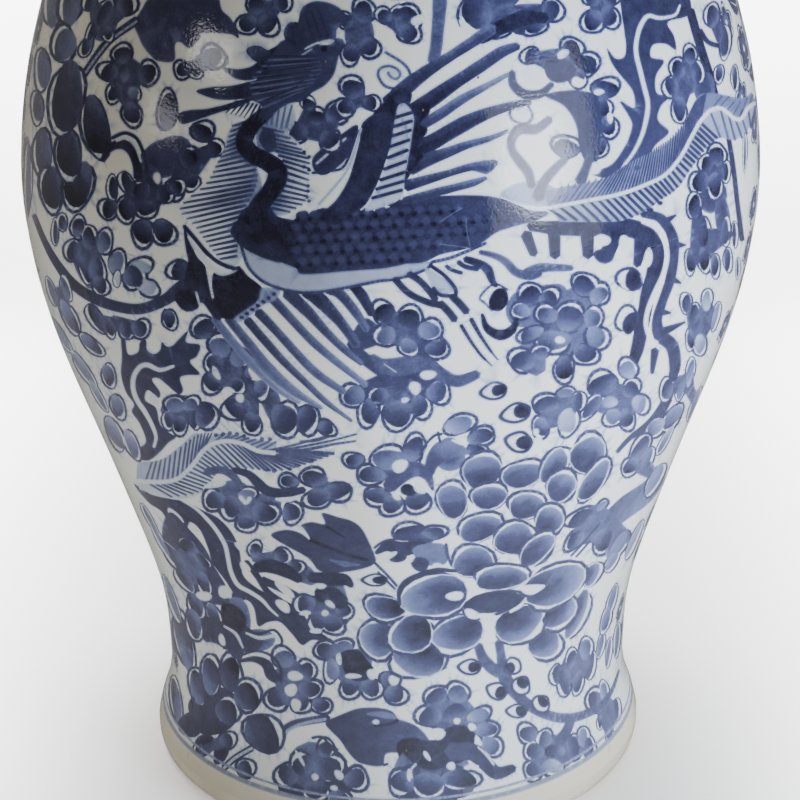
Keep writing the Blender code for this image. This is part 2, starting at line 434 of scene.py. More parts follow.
def weave(low, low_angles, high, high_angles):
    """Triangles between two rings of points, each in order of angle and each once round."""
    faces = []
    i = j = 0
    turn = 2 * math.pi
    while i < len(low) or j < len(high):
        next_low = low_angles[i + 1] if i + 1 < len(low) else low_angles[0] + turn
        next_high = high_angles[j + 1] if j + 1 < len(high) else high_angles[0] + turn
        a, b = low[i % len(low)], high[j % len(high)]
        if j >= len(high) or (i < len(low) and next_low <= next_high):
            faces.append((a, low[(i + 1) % len(low)], b))
            i += 1
        else:
            faces.append((a, high[(j + 1) % len(high)], b))
            j += 1
    return faces


class Piece:
    """Points and triangles of one piece, gathered before its mesh is made. Millimetres."""

    def __init__(self):
        self.count = 0
        self.points = []
        self.faces = []
        self.normals = []
        self.tones = []
        self.bake = []

    def add(self, points):
        """Adds points and returns their numbers."""
        first = self.count
        self.points.append(np.asarray(points, float))
        self.count += len(points)
        return np.arange(first, self.count)

    def face(self, corners, normals=None, tones=None, bake=None):
        """Adds triangles, with what each of their corners carries."""
        count = len(corners)
        self.faces.append(np.asarray(corners))
        self.normals.append(np.zeros((count, 3, 3)) if normals is None else normals)
        self.tones.append(np.zeros((count, 3)) if tones is None else tones)
        self.bake.append(np.tile(BAKE_SPOT, (count, 3, 1)) if bake is None else bake)

    def ring(self, radius, height, segments):
        """One ring of points with their angles, or a single point on the axis."""
        if radius < NEAR:
            return self.add([(0, 0, height)]), np.array([-math.pi])
        angles = np.linspace(-math.pi, math.pi, segments, endpoint=False)
        spots = np.column_stack([radius * np.sin(angles), -radius * np.cos(angles),
                                 np.full(segments, height)])
        return self.add(spots), angles

    def join(self, low, high, outward, tones=(0.0, 0.0)):
        """Faces between two rings. A ring of one point is a pole. tones are those of the two rings."""
        if len(low[0]) == 1 and len(high[0]) == 1:
            return
        if len(low[0]) == 1 or len(high[0]) == 1:
            pole, rim = (low, high) if len(low[0]) == 1 else (high, low)
            ids = rim[0]
            faces = np.column_stack([ids, np.roll(ids, -1), np.full(len(ids), pole[0][0])])
            if pole is low:
                faces = faces[:, ::-1]
        else:
            faces = np.array(weave(low[0], low[1], high[0], high[1]))
        depth = np.where(np.isin(faces, low[0]), tones[0], tones[1])
        turn = 1 if outward else -1
        self.face(faces[:, ::turn], tones=depth[:, ::turn])

    def finish(self, name, node, rider, material):
        """Makes the mesh and has it stand for its CAD node."""
        points, faces = np.vstack(self.points) * MM, np.vstack(self.faces)
        mesh = bpy.data.meshes.new(name)
        mesh.from_pydata(points.tolist(), [], faces.tolist())
        mesh.polygons.foreach_set("use_smooth", [True] * len(mesh.polygons))
        tone = mesh.attributes.new("tone", "FLOAT", "CORNER")
        tone.data.foreach_set("value", np.vstack(self.tones).ravel())
        bake = mesh.uv_layers.new(name="OFBake")
        bake.data.foreach_set("uv", np.vstack(self.bake).ravel())
        mesh.materials.append(material)
        normals = np.vstack(self.normals).reshape(-1, 3)
        if normals.any():
            mesh.normals_split_custom_set(normals.tolist())
        obj = bpy.data.objects.new(name, mesh)
        bpy.context.scene.collection.objects.link(obj)
        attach(obj, rider)
        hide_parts(node)
        return obj


def painted_wall(piece, wall, cut, low, high):
    """Adds the painted faces of one length of wall. Returns its bottom and top rings."""
    spots, faces, tones = cut
    middle = spots[faces][:, :, 1].mean(1)
    chosen = (middle > low) & (middle < high)
    faces, tones = faces[chosen], tones[chosen]
    corners = spots[faces]
    fine = np.round(corners * WELD).astype(int)
    around = int(GIRTH * WELD)
    fine[:, :, 0] = (fine[:, :, 0] + around // 2) % around
    flat = fine.reshape(-1, 2)
    unique, index = np.unique(flat, axis=0, return_inverse=True)
    index = index.reshape(-1, 3)
    sound = (index[:, 0] != index[:, 1]) & (index[:, 1] != index[:, 2]) & (index[:, 2] != index[:, 0])
    index, tones, corners = index[sound], tones[sound], corners[sound]
    sheet = unique / WELD - (GIRTH / 2, 0)
    sheet[:, 1] = np.clip(sheet[:, 1], low, high)
    place, out = wall.place(sheet)
    ids = piece.add(place)
    strip_width = GIRTH / BAKE_STRIPS
    strip = np.clip(((corners[:, :, 0].mean(1) + GIRTH / 2) / strip_width).astype(int), 0,
                    BAKE_STRIPS - 1)
    tall = (1.0 - BAKE_MARGIN) / BAKE_STRIPS
    u = (corners[:, :, 0] + GIRTH / 2) / strip_width - strip[:, None]
    v = BAKE_MARGIN + (strip[:, None] + (corners[:, :, 1] - low) / (high - low) * STRIP_FILL) * tall
    bake = np.stack([np.clip(u, 0.0, 1.0), v], axis=2)
    piece.face(ids[index], out[index], tones, bake)
    rings = []
    for level in (low, high):
        edge = np.where(np.abs(sheet[:, 1] - level) < 1.1 / WELD)[0]
        angle = sheet[edge, 0] * 2 * math.pi / GIRTH
        order = np.argsort(angle)
        rings.append((ids[edge[order]], angle[order]))
    return rings


def line_shell(piece, bottom, top, path):
    """Closes a painted wall along a path of (radius, height), from its bottom edge to its top or a pole."""
    last = bottom
    for radius, height in path:
        ring = piece.ring(radius, height, LINING_SEGMENTS)
        piece.join(last, ring, outward=False)
        last = ring
    if path[-1][0] > 0:
        piece.join(last, top, outward=False)


# Brushwork. Places are picture points, and tones run from 0 for bare glaze to 1 for the deepest cobalt.
LINE = 3.4  # the width of a drawn outline, in picture units
OUTLINE = 0.74  # the tone of a petal's outline
RIM = 4.0  # the widest white rim of a petal
GAP = 1.5  # the pale line round the wash of a peony petal
GAP_TONE = 0.12
BARE_TONE = 0.02  # the tone of the glaze inside an outline
REACH = 34.0  # petals nearer to the heart than this are tied to it with a wash
UNIT = 0.43  # millimetres on the jar for one picture unit
INWARD = 0.45  # where a peony petal's wash is deepest, as a share of its size towards the heart


def petal_wash(canvas, heart, x, y, across, down, tilt, tone, lean=None):
    """The wash in a petal, set off towards the flower's heart and deepest at its outer edge.

    With a lean it is deepest inside, that share of the petal's size towards the heart.
    """
    inward = np.array([heart[0] - x, heart[1] - y], float)
    inward /= max(np.linalg.norm(inward), 1e-6)
    rim = min(0.3 * min(across, down), RIM)
    middle = np.array([x, y]) + inward * rim * 0.6
    wide, tall = across - 0.45 * LINE - 0.5 * rim, down - 0.45 * LINE - 0.5 * rim
    if lean:
        canvas.oval(middle, wide + GAP, tall + GAP, GAP_TONE, tilt)
        canvas.soft_oval(middle, wide, tall, min(1.08 * tone, 1.0), 0.5 * tone, tilt, lean * inward, 0.25)
        return
    way = 0.5 * (wide + tall) * inward
    fade = (middle - way, middle + 1.1 * way, 0.6 * tone)
    canvas.oval(middle, wide, tall, min(1.12 * tone, 1.0), tilt, fade)


def wash_depth(x, y):
    """The usual depth of a wash: thinner towards the foot and the left edge of the picture."""
    return float(np.interp(y, (60, 180, 480), (0.8, 0.88, 0.75)) * np.interp(x, (60, 150), (0.85, 1.0)))


def flower(canvas, heart, petals, tone=None, reach=REACH, lean=None):
    """Petals round a heart, each as (x, y, across, down) with an optional tilt and tone.

    The outlines come first and the bare glaze inside them next, so that overlapping petals share one
    outline. A wash then fills the flower from its heart to the middles of its petals.
    """
    tone = tone or wash_depth(*heart)
    full = [(*p, *(0.0, tone)[len(p) - 4:]) for p in petals]
    for x, y, across, down, tilt, _ in full:
        canvas.oval((x, y), across, down, OUTLINE, tilt)
    for x, y, across, down, tilt, _ in full:
        line = min(LINE, 0.25 * across)
        canvas.oval((x, y), across - line, down - line, BARE_TONE, tilt)
    near = [p for p in full if math.dist(heart, p[:2]) < reach]
    for x, y, across, down, _, depth in near:
        canvas.stroke([heart, (x, y)], 1.3 * min(across, down), 0.8 * depth, 0.85 * depth)
    if len(near) > 2:
        turned = sorted(near, key=lambda p: math.atan2(p[1] - heart[1], p[0] - heart[0]))
        canvas.patch([p[:2] for p in turned], 0.78 * tone)
    for place in full:
        petal_wash(canvas, heart, *place, lean)


def petal(canvas, heart, *place, lean=None):
    """One petal on its own, as (x, y, across, down, tilt, tone)."""
    flower(canvas, heart, [place], reach=0.0, lean=lean)


def blots(canvas, tone, spots):
    """Ovals of one tone, each as (x, y, across, down) with an optional tilt.

    Dark ones are paler at the edge.
    """
    for x, y, across, down, *tilt in spots:
        canvas.soft_oval((x, y), across, down, tone, tone if tone < 0.2 else 0.8 * tone, *tilt)


def strokes(canvas, tone, lines):
    """Brush lines of one tone, each as (widths, points)."""
    for widths, points in lines:
        canvas.stroke(points, widths, tone)


def bud(canvas, x, y, across, down, tilt, side):
    """A pointed bud with a round dark spot on one side."""
    c, s = math.cos(math.radians(tilt)), math.sin(math.radians(tilt))
    shape = [(-1.15, 0), (-0.5, -0.75), (0.3, -0.95), (1, -0.2), (0.6, 0.8), (-0.4, 0.85)]
    for share, tone in ((1.0, 0.75), (0.74, 0.03)):
        turned = [(u * across * c - v * down * s, u * across * s + v * down * c) for u, v in shape]
        canvas.patch([(x + u * share, y + v * share) for u, v in turned], tone)
    shift = side * across * 0.32
    canvas.oval((x + shift * c, y + shift * s), across * 0.5, down * 0.62, 0.88, tilt)


# The phoenix
def paint_ruff(canvas):
    """The hackles that stand out on both sides of the neck."""
    left = [(247, 120), (232, 127), (226, 137), (224, 150), (216, 165), (210, 178), (196, 190),
            (180, 208), (186, 214), (196, 224), (202, 236), (212, 248), (220, 262), (236, 266),
            (244, 250), (250, 215), (262, 190), (256, 165), (244, 150), (243, 135)]
    canvas.patch(left, 0.34, ((255, 195), (205, 195), 0.05))
    neck_side = [(246, 122), (244, 138), (250, 156), (257, 176), (252, 194), (242, 214), (238, 236),
                 (237, 256)]
    tips = [(232, 126), (226, 146), (217, 164), (206, 184), (180, 208), (195, 226), (207, 243),
            (220, 259)]
    canvas.barbs(neck_side, tips, 27, (3.2, 2.2), 0.68, 0.58)
    throat = [(258, 112), (272, 104), (290, 103), (296, 116), (292, 128), (284, 136), (270, 140),
              (258, 138)]
    canvas.patch(throat, 0.42, ((262, 130), (292, 104), 0.16))
    canvas.barbs([(262, 112), (274, 106), (292, 105)], [(254, 132), (270, 134), (286, 128)], 7,
                 (2.0, 3.0), 0.5)
    right = [(258, 126), (275, 127), (290, 135), (300, 145), (309, 158), (308, 180), (307, 200),
             (296, 206), (288, 214), (276, 215), (268, 205), (275, 190), (285, 172), (282, 158),
             (272, 152), (258, 150)]
    canvas.patch(right, 0.4, ((268, 180), (306, 180), 0.06))
    near = [(262, 128), (268, 140), (276, 152), (285, 166), (280, 182), (274, 196), (272, 208)]
    far = [(284, 132), (300, 148), (309, 160), (309, 174), (308, 190), (305, 202), (290, 212)]
    canvas.barbs(near, far, 17, (3.0, 2.2), 0.7, 0.6)
    canvas.oval((268, 140), 9, 12, 0.72, -20)
    blots(canvas, 0.9, [(304, 152, 2, 2), (309, 157, 2, 2), (304, 167, 2, 2), (309, 170, 2, 2),
                        (308, 186, 2, 2), (308, 191, 2, 2), (307, 197, 2, 2), (309, 201, 2, 2)])


def paint_body(canvas):
    """The scaly body from the neck to the root of the tail, and the pale belly under it."""
    belly = [(238, 218), (240, 242), (246, 262), (252, 272), (262, 281), (275, 287), (290, 291),
             (305, 293), (320, 292), (340, 289), (360, 285), (380, 281), (397, 279), (425, 270),
             (432, 262), (400, 262), (340, 268), (296, 266), (262, 252), (244, 232)]
    canvas.patch(belly, 0.27)
    strokes(canvas, 0.7, [
        (3, [(240, 242), (246, 262), (252, 272), (262, 281), (275, 287), (290, 291), (305, 293),
             (320, 292)]),
        (3, [(320, 292), (340, 289), (360, 285), (380, 281), (397, 279), (425, 270), (432, 262)]),
        (3.5, [(432, 262), (450, 258), (470, 250), (486, 243)]),
    ])
    back = [(238, 218), (250, 205), (268, 205), (276, 215), (290, 220), (305, 217), (322, 208),
            (345, 212), (366, 210), (380, 211), (395, 204), (404, 199), (440, 196), (470, 195),
            (500, 198), (530, 210), (548, 212), (540, 219), (500, 231), (485, 241), (470, 248),
            (440, 255), (425, 262), (405, 264), (385, 268), (345, 271), (303, 274), (296, 268),
            (280, 262), (266, 258), (253, 248), (243, 235)]
    canvas.patch(back, 0.82, ((400, 230), (545, 215), 0.7))
    canvas.soft_oval((272, 238), 38, 24, 0.95, 0.82, 15)
    for row in range(6):
        for column in range(17):
            x = 296 + 13 * column + 6.5 * (row % 2)
            y = 204 + 11.5 * row - 0.05 * (x - 300)
            top = 206 - 0.06 * (x - 300) if x < 440 else 198 + 0.14 * (x - 440)
            low = 272 - 0.05 * (x - 300) if x < 400 else 264 - 0.36 * (x - 400)
            if top + 6 < y < low - 5:
                canvas.soft_oval((x, y), 6.4, 5.2, 0.66, 0.86, -15)
                canvas.soft_oval((x - 5.2, y + 4.2), 3.2, 2.6, 1.0, 0.9, -15)
    strokes(canvas, 0.5, [(0.9, [(440, 222), (452, 214), (462, 208)]),
                          (0.9, [(466, 218), (467, 232), (470, 246)]),
                          (0.9, [(440, 244), (455, 246), (469, 248)])])


def paint_head(canvas):
    """The neck, the crest, the face and the wisps that trail from the cheek."""
    neck = [(276, 104), (262, 116), (250, 128), (244, 142), (252, 154), (266, 161), (277, 170),
            (276, 182), (268, 195), (259, 207), (256, 222)]
    canvas.stroke(neck, (10, 14, 17, 18, 18, 18, 20, 20, 18, 20, 26), 0.93)
    canvas.patch([(300, 12), (305, 5), (316, 1), (330, 3), (341, 9), (347, 17), (344, 24), (337, 29),
                  (336, 38), (330, 42), (318, 42), (308, 46), (300, 52), (290, 48), (285, 40), (284, 30),
                  (290, 22), (298, 22)], 0.8, ((290, 40), (340, 8), 0.66))
    canvas.patch([(285, 40), (300, 50), (318, 44), (335, 42), (339, 52), (337, 64), (333, 76), (324, 86),
                  (312, 93), (303, 101), (288, 104), (276, 112), (268, 120), (258, 116), (262, 106),
                  (250, 100), (240, 98), (246, 86), (256, 80), (262, 70), (258, 62), (266, 52),
                  (276, 46)], 0.72)
    canvas.patch([(246, 50), (252, 46), (260, 46), (268, 50), (276, 48), (270, 58), (258, 62), (250, 57)],
                 0.85)
    wisps = [
        [(222, 67), (236, 69), (250, 67), (262, 60), (268, 72), (256, 79), (240, 80), (230, 75)],
        [(196, 91), (212, 87), (230, 86), (248, 82), (262, 80), (258, 92), (240, 99), (222, 100),
         (208, 97)],
        [(178, 114), (190, 110), (206, 109), (224, 105), (240, 100), (252, 100), (238, 107), (220, 112),
         (200, 119), (182, 124)],
    ]
    for outline, tone in zip(wisps, (0.62, 0.7, 0.72)):
        canvas.patch(outline, tone, (outline[0], outline[3], 0.85))
    for i in range(10):
        canvas.stroke([(237 + 4 * i, 101 + 0.6 * i), (226 + 4.5 * i, 113 + 1.2 * i)], (2.6, 1.0), 0.72)
    canvas.patch([(318, 43), (325, 40), (334, 40), (331, 44), (322, 45)], 0.03)
    canvas.oval((324, 49), 3.6, 3.2, 1.0)
    canvas.stroke([(302, 55), (312, 49)], 2.2, 0.3)
    canvas.barbs([(318, 58), (322, 68), (316, 80), (304, 90)], [(268, 60), (254, 76), (250, 90),
                                                                (262, 108)], 9, (1.6, 2.4), 0.58, 0.52)
    canvas.barbs([(308, 56), (312, 66), (308, 76), (298, 86)], [(274, 56), (262, 72), (256, 84),
                                                                (266, 100)], 7, (1.8, 2.2), 0.84)
    canvas.barbs([(292, 26), (302, 16), (318, 8)], [(296, 44), (310, 40), (328, 36)], 6, (1.6, 1.2), 0.86)


def paint_upper_wing(canvas):
    """The raised wing: fanned flight feathers, a barred strip and a dark shoulder."""
    feathers = [
        ((16, 16, 12, 10, 12, 13), 0.66, [(388, 104), (410, 84), (432, 68), (454, 54), (477, 39),
                                          (492, 28)]),
        ((16, 16, 16, 13, 13, 12, 8), 0.72, [(402, 118), (418, 108), (435, 97), (458, 81), (481, 66),
                                             (502, 52), (518, 46)]),
        ((12, 11, 10, 7, 4), 0.54, [(410, 131), (439, 115), (461, 100), (483, 88), (508, 74)]),
        ((18, 17, 16, 16, 12, 8, 5), 0.74, [(408, 152), (427, 145), (443, 136), (464, 124), (486, 114),
                                            (510, 106), (530, 101)]),
        ((16, 14, 11, 8, 5, 2), 0.62, [(410, 168), (427, 160), (446, 153), (467, 145), (490, 138),
                                       (508, 130)]),
        ((12, 9, 7, 8, 15, 6), 0.62, [(406, 186), (433, 178), (450, 173), (471, 167), (486, 167),
                                      (496, 162)]),
        ((8, 9, 8, 8, 4), 0.62, [(404, 201), (434, 193), (454, 188), (473, 183), (486, 178)]),
    ]
    for widths, tone, points in feathers:
        canvas.stroke(points, widths, tone + 0.12, tone - 0.1)
        canvas.stroke([(x + 1, y + 0.12 * widths[0]) for x, y in points], 0.45 * np.array(widths),
                      tone + 0.2, tone)
    canvas.patch([(372, 122), (380, 106), (400, 88), (412, 94), (410, 106), (424, 102), (430, 112),
                  (420, 124), (428, 130), (418, 146), (426, 152), (412, 172), (404, 186), (400, 200),
                  (388, 206), (378, 190), (392, 150)], 0.9)
    canvas.patch([(362, 124), (374, 114), (388, 112), (396, 122), (392, 142), (386, 160), (378, 182),
                  (366, 204), (350, 215), (335, 225), (322, 215), (336, 200), (348, 180), (356, 155),
                  (360, 138)], 0.85)
    canvas.patch([(398, 106), (406, 104), (414, 116), (412, 135), (409, 155), (405, 176), (402, 197),
                  (386, 206), (368, 211), (366, 207), (378, 186), (386, 164), (391, 143), (394, 124)],
                 0.2)
    canvas.barbs([(394, 118), (392, 136), (387, 158), (380, 180), (372, 198)],
                 [(413, 112), (411, 130), (408, 150), (405, 172), (402, 190)], 9, 3.4, 0.84)
    canvas.stroke([(361, 128), (355, 150), (346, 172), (330, 192), (318, 205)], 2.6, 0.28)
    canvas.patch([(434, -8), (447, -8), (444, 30), (440, 58), (428, 62), (430, 45), (432, 20)], 0.6)


def paint_lower_wing(canvas):
    """The lowered wing: a dark root and long flight feathers that sweep down to the right."""
    flight = [
        ((8, 9, 10, 8, 5), 0.42, [(214, 318), (236, 346), (256, 368), (280, 390), (300, 402)]),
        ((9, 10, 12, 9, 4), 0.52, [(228, 318), (253, 349), (269, 369), (295, 392), (322, 408)]),
        ((9, 9, 8, 7, 6, 3), 0.62, [(247, 320), (265, 341), (284, 362), (306, 383), (326, 402),
                                    (352, 421)]),
        ((10, 9, 9, 9, 7), 0.6, [(258, 312), (277, 332), (296, 353), (317, 374), (344, 392)]),
        ((10, 9, 9, 8, 6), 0.56, [(272, 298), (293, 321), (313, 342), (334, 360), (366, 385)]),
        ((13, 12, 9, 8, 5), 0.64, [(287, 292), (307, 311), (327, 333), (346, 351), (362, 364)]),
        ((14, 15, 11, 10), 0.72, [(306, 290), (321, 301), (341, 323), (357, 345)]),
        ((12, 11, 10, 7), 0.64, [(328, 288), (340, 294), (356, 313), (367, 330)]),
        ((10, 12, 9), 0.8, [(352, 284), (362, 296), (372, 314)]),
    ]
    for widths, tone, points in flight:
        canvas.stroke(points, widths, tone + 0.08, tone - 0.14)
        canvas.stroke([(x - 1, y + 1) for x, y in points], 0.4 * np.array(widths), tone + 0.14,
                      tone - 0.04)
    canvas.patch([(214, 272), (226, 272), (240, 268), (248, 276), (262, 288), (258, 300), (246, 310),
                  (235, 318), (222, 318), (214, 308), (212, 290)], 0.95)
    canvas.patch([(262, 288), (280, 290), (275, 300), (262, 306), (250, 316), (240, 322), (234, 318),
                  (248, 308), (258, 300)], 0.35)
    for i in range(7):
        canvas.oval((274 - 5.4 * i, 294 + 3.9 * i), 2.2, 1.8, 0.85)
    canvas.patch([(184, 228), (186, 250), (188, 262), (184, 284), (196, 300), (204, 304), (214, 318),
                  (222, 318), (214, 300), (206, 268), (196, 255)], 0.88)
    canvas.patch([(187, 236), (196, 244), (208, 260), (222, 270), (238, 270), (222, 276), (208, 268),
                  (195, 252)], 0.1)
    canvas.stroke([(184, 226), (196, 240), (206, 252), (218, 262), (232, 268), (240, 268)], 4, 0.85)
    strokes(canvas, 0.08, [(2.4, [(207, 268), (210, 284), (213, 298)]), (2.4, [(196, 292), (200, 306)])])


def paint_legs(canvas):
    """The two legs with their toes, and the curled plumes behind them."""
    canvas.patch([(425, 268), (440, 275), (452, 285), (455, 292), (440, 294), (432, 288)], 0.25)
    strokes(canvas, 0.84, [
        (7, [(395, 279), (405, 290), (415, 297), (430, 303), (440, 305)]),
        (7, [(409, 274), (420, 281), (430, 292), (436, 300)]),
        (4, [(430, 265), (445, 276), (455, 288), (456, 295)]),
        (4, [(433, 288), (440, 295), (452, 296)]),
        (8, [(440, 303), (448, 311), (455, 320)]),
        (8, [(452, 296), (460, 304), (467, 312)]),
        ((4, 2), [(461, 325), (470, 340), (480, 354), (492, 366)]),
        ((5, 1.5), [(471, 319), (480, 335), (490, 350), (498, 360)]),
        (4, [(446, 266), (452, 270), (462, 273)]),
        (5, [(458, 262), (466, 267), (478, 269)]),
        ((7, 10, 5), [(465, 259), (480, 264), (488, 270), (492, 280), (496, 286)]),
    ])
    canvas.stroke([(480, 252), (495, 256), (506, 262), (516, 272), (530, 276), (540, 272)], (5, 9, 9),
                  0.66)


def paint_tail(canvas):
    """The long tail plume: a white quill with fine barbs on both sides."""
    quill = [(548, 208), (590, 200), (620, 194), (645, 185), (665, 175), (680, 158), (690, 140),
             (700, 122), (710, 111), (720, 108), (728, 113), (735, 119), (742, 118), (748, 108),
             (755, 103)]
    upper = [(545, 190), (600, 180), (625, 165), (645, 155), (660, 148), (680, 130), (690, 110),
             (700, 95), (715, 93), (725, 95), (742, 98), (752, 92)]
    lower = [(560, 222), (600, 222), (625, 220), (650, 208), (662, 198), (678, 188), (690, 170),
             (700, 155), (710, 143), (722, 138), (735, 140), (748, 130)]
    canvas.fill(np.vstack([smooth(upper), smooth(quill)[::-1]]), 0.44)
    canvas.fill(np.vstack([smooth(lower), smooth(quill)[::-1]]), 0.3)
    tips = [(562, 186), (608, 176), (632, 161), (652, 150), (668, 140), (686, 120), (696, 101), (706, 93)]
    canvas.barbs(quill[:8], tips, 50, (2.0, 1.5), 0.68)
    ends = [(566, 220), (612, 222), (640, 214), (660, 200), (676, 189), (691, 168), (703, 152),
            (717, 138)]
    canvas.barbs(quill[:8], ends, 30, (3.2, 3.0), 0.74)
    blots(canvas, 0.9, [(650, 210, 4, 3, 30), (628, 193, 3, 2.4), (637, 168, 3, 2.4), (660, 203, 3, 2.4)])
    canvas.barbs(quill[8:], [(722, 96), (730, 97), (736, 103), (744, 99), (751, 96), (757, 92),
                             (760, 90)], 8, 1.8, 0.6)
    canvas.barbs(quill[8:], [(720, 137), (728, 138), (735, 140), (742, 138), (747, 134), (751, 128),
                             (756, 120)], 7, 2.2, 0.6)
    canvas.stroke(quill, 4, 0.02)


def paint_second_tail(canvas):
    """The plume of a second phoenix at the lower left, which comes round from the back of the jar."""
    quill = [(136, 481), (160, 482), (175, 480), (185, 473), (195, 462), (203, 451), (213, 444),
             (227, 441), (243, 444), (258, 451), (275, 453)]
    above = [(138, 462), (160, 460), (180, 446), (195, 433), (208, 437), (225, 433), (243, 437),
             (262, 440), (276, 443)]
    below = [(140, 490), (165, 497), (188, 499), (205, 490), (214, 476), (228, 472), (246, 468),
             (265, 471), (290, 469), (312, 462), (335, 455)]
    canvas.fill(np.vstack([smooth(above), smooth(quill)[::-1]]), 0.26)
    canvas.fill(np.vstack([smooth(below), [(335, 448)], smooth(quill)[::-1]]), 0.14)
    canvas.barbs([(146, 480), (165, 480), (182, 474), (196, 458), (205, 446)],
                 [(152, 462), (168, 457), (186, 443), (200, 434), (212, 433)], 15, (2.6, 1.8), 0.6)
    canvas.barbs([(216, 441), (230, 440), (246, 444), (262, 450)],
                 [(224, 434), (240, 436), (258, 440), (276, 442)], 9, 2.6, 0.55)
    canvas.barbs([(150, 484), (170, 483), (185, 475), (197, 462), (206, 451)],
                 [(172, 497), (196, 493), (209, 484), (216, 474), (228, 468)], 15, (2.4, 1.8), 0.62)
    canvas.barbs([(210, 446), (228, 443), (246, 447), (262, 454), (280, 454), (300, 451)],
                 [(232, 468), (256, 469), (275, 471), (296, 467), (314, 461), (334, 454)], 18, (2.2, 2.6),
                 0.62)
    blots(canvas, 0.85, [(x, y, 2.4, 2) for x, y in ((216, 435), (223, 434), (230, 433), (237, 434),
                                                     (244, 436), (262, 439), (270, 439), (267, 470),
                                                     (274, 471), (290, 469), (297, 466), (312, 461))])
    strokes(canvas, 0.62, [
        ((3, 2), [(262, 452), (290, 446), (320, 438), (335, 434)]),
        ((3, 2), [(270, 453), (300, 447), (330, 441), (357, 434)]),
        ((4, 2), [(280, 453), (310, 449), (335, 444), (356, 441)]),
        ((4, 2), [(290, 453), (315, 452), (334, 453)]),
        (3, [(300, 442), (318, 440), (330, 436)]),
    ])
    canvas.stroke(quill, 4.5, 0.05)


# Branches, twigs and leaves
def paint_branches(canvas):
    """Thorny branches, each in two dark halves with a white vein between them."""
    upper_left = [(621, -8), (624, 30), (626, 45), (624, 57), (615, 58), (607, 48), (611, 62), (620, 75),
                  (632, 90), (635, 103), (633, 108), (620, 101), (628, 115), (632, 125), (628, 140),
                  (625, 146), (612, 164), (592, 173), (606, 178), (622, 168), (632, 155), (640, 140),
                  (645, 125), (648, 105), (645, 90), (640, 70), (636, 52), (637, 38), (641, 25),
                  (642, -8)]
    canvas.patch(upper_left, 0.8, ((630, 0), (620, 170), 0.68))
    canvas.patch([(642, -8), (684, -8), (690, 14), (668, 22), (674, 36), (676, 50), (666, 44), (653, 45),
                  (651, 57), (664, 61), (656, 76), (657, 93), (670, 96), (661, 106), (658, 120),
                  (669, 132), (656, 145), (646, 158), (634, 166), (622, 172), (632, 155), (640, 140),
                  (648, 105), (640, 70), (636, 52), (641, 25)], 0.82, ((660, 0), (640, 160), 0.68))
    canvas.stroke([(680, 5), (675, 15), (660, 18), (648, 16), (641, 25), (637, 38), (636, 52), (640, 70),
                   (645, 90), (648, 105), (645, 125), (640, 140), (632, 155), (622, 168)],
                  (2, 4.6, 4.6, 4.4, 2.5), 0.03)
    canvas.stroke([(690, 10), (697, 35), (703, 55), (710, 75), (717, 100)], (9, 9, 6), 0.85)
    strokes(canvas, 0.8, [(5, [(700, 30), (708, 42), (720, 46)]), (5,
                                                                   [(728, 135), (733, 165), (737, 200),
                                                                    (742, 240)])])

    arch = [(530, 226), (560, 228), (600, 227), (630, 228), (648, 237), (656, 252), (654, 272),
            (648, 292), (645, 310), (641, 330), (637, 350), (630, 370)]
    canvas.stroke(arch, (10, 15, 19, 19, 19, 17, 15, 14, 14, 14, 13, 9), 0.84)
    strokes(canvas, 0.84, [
        ((12, 9), [(526, 234), (534, 254)]), ((13, 11), [(554, 234), (555, 256)]),
                           ((14, 11), [(587, 232), (588, 256)]),
        ((14, 15), [(617, 232), (606, 256)]), ((16, 8), [(642, 240), (637, 265)]),
    ])
    blots(canvas, 0.9, [(604, 256, 10, 8)])
    blots(canvas, 0.03, [(603, 240, 8, 6), (624, 243, 5, 9), (648, 258, 4.4, 11, 12)])
    canvas.stroke([(642, 214), (660, 218), (672, 235), (674, 255), (670, 280), (663, 300), (657, 320),
                   (660, 335), (672, 346), (675, 365), (672, 380)],
                  (7, 10, 11, 10, 10, 9, 10, 14, 14, 12, 8), 0.78)
    strokes(canvas, 0.8, [
        ((8, 2), [(664, 222), (676, 215)]), ((9, 2), [(673, 245), (686, 245)]),
                          ((9, 2), [(669, 278), (681, 283)]),
        ((8, 2), [(660, 312), (671, 313)]), ((9, 2), [(662, 332), (685, 322)]),
                          ((9, 4), [(655, 350), (652, 373)]),
    ])
    canvas.stroke([(642, 222), (655, 228), (665, 242), (667, 258), (663, 275), (655, 292), (648, 310),
                   (646, 325), (650, 338), (658, 342)], (3, 5, 5, 5, 2), 0.03)
    canvas.stroke([(520, 275), (540, 268), (572, 268)], (7, 10, 6), 0.65)


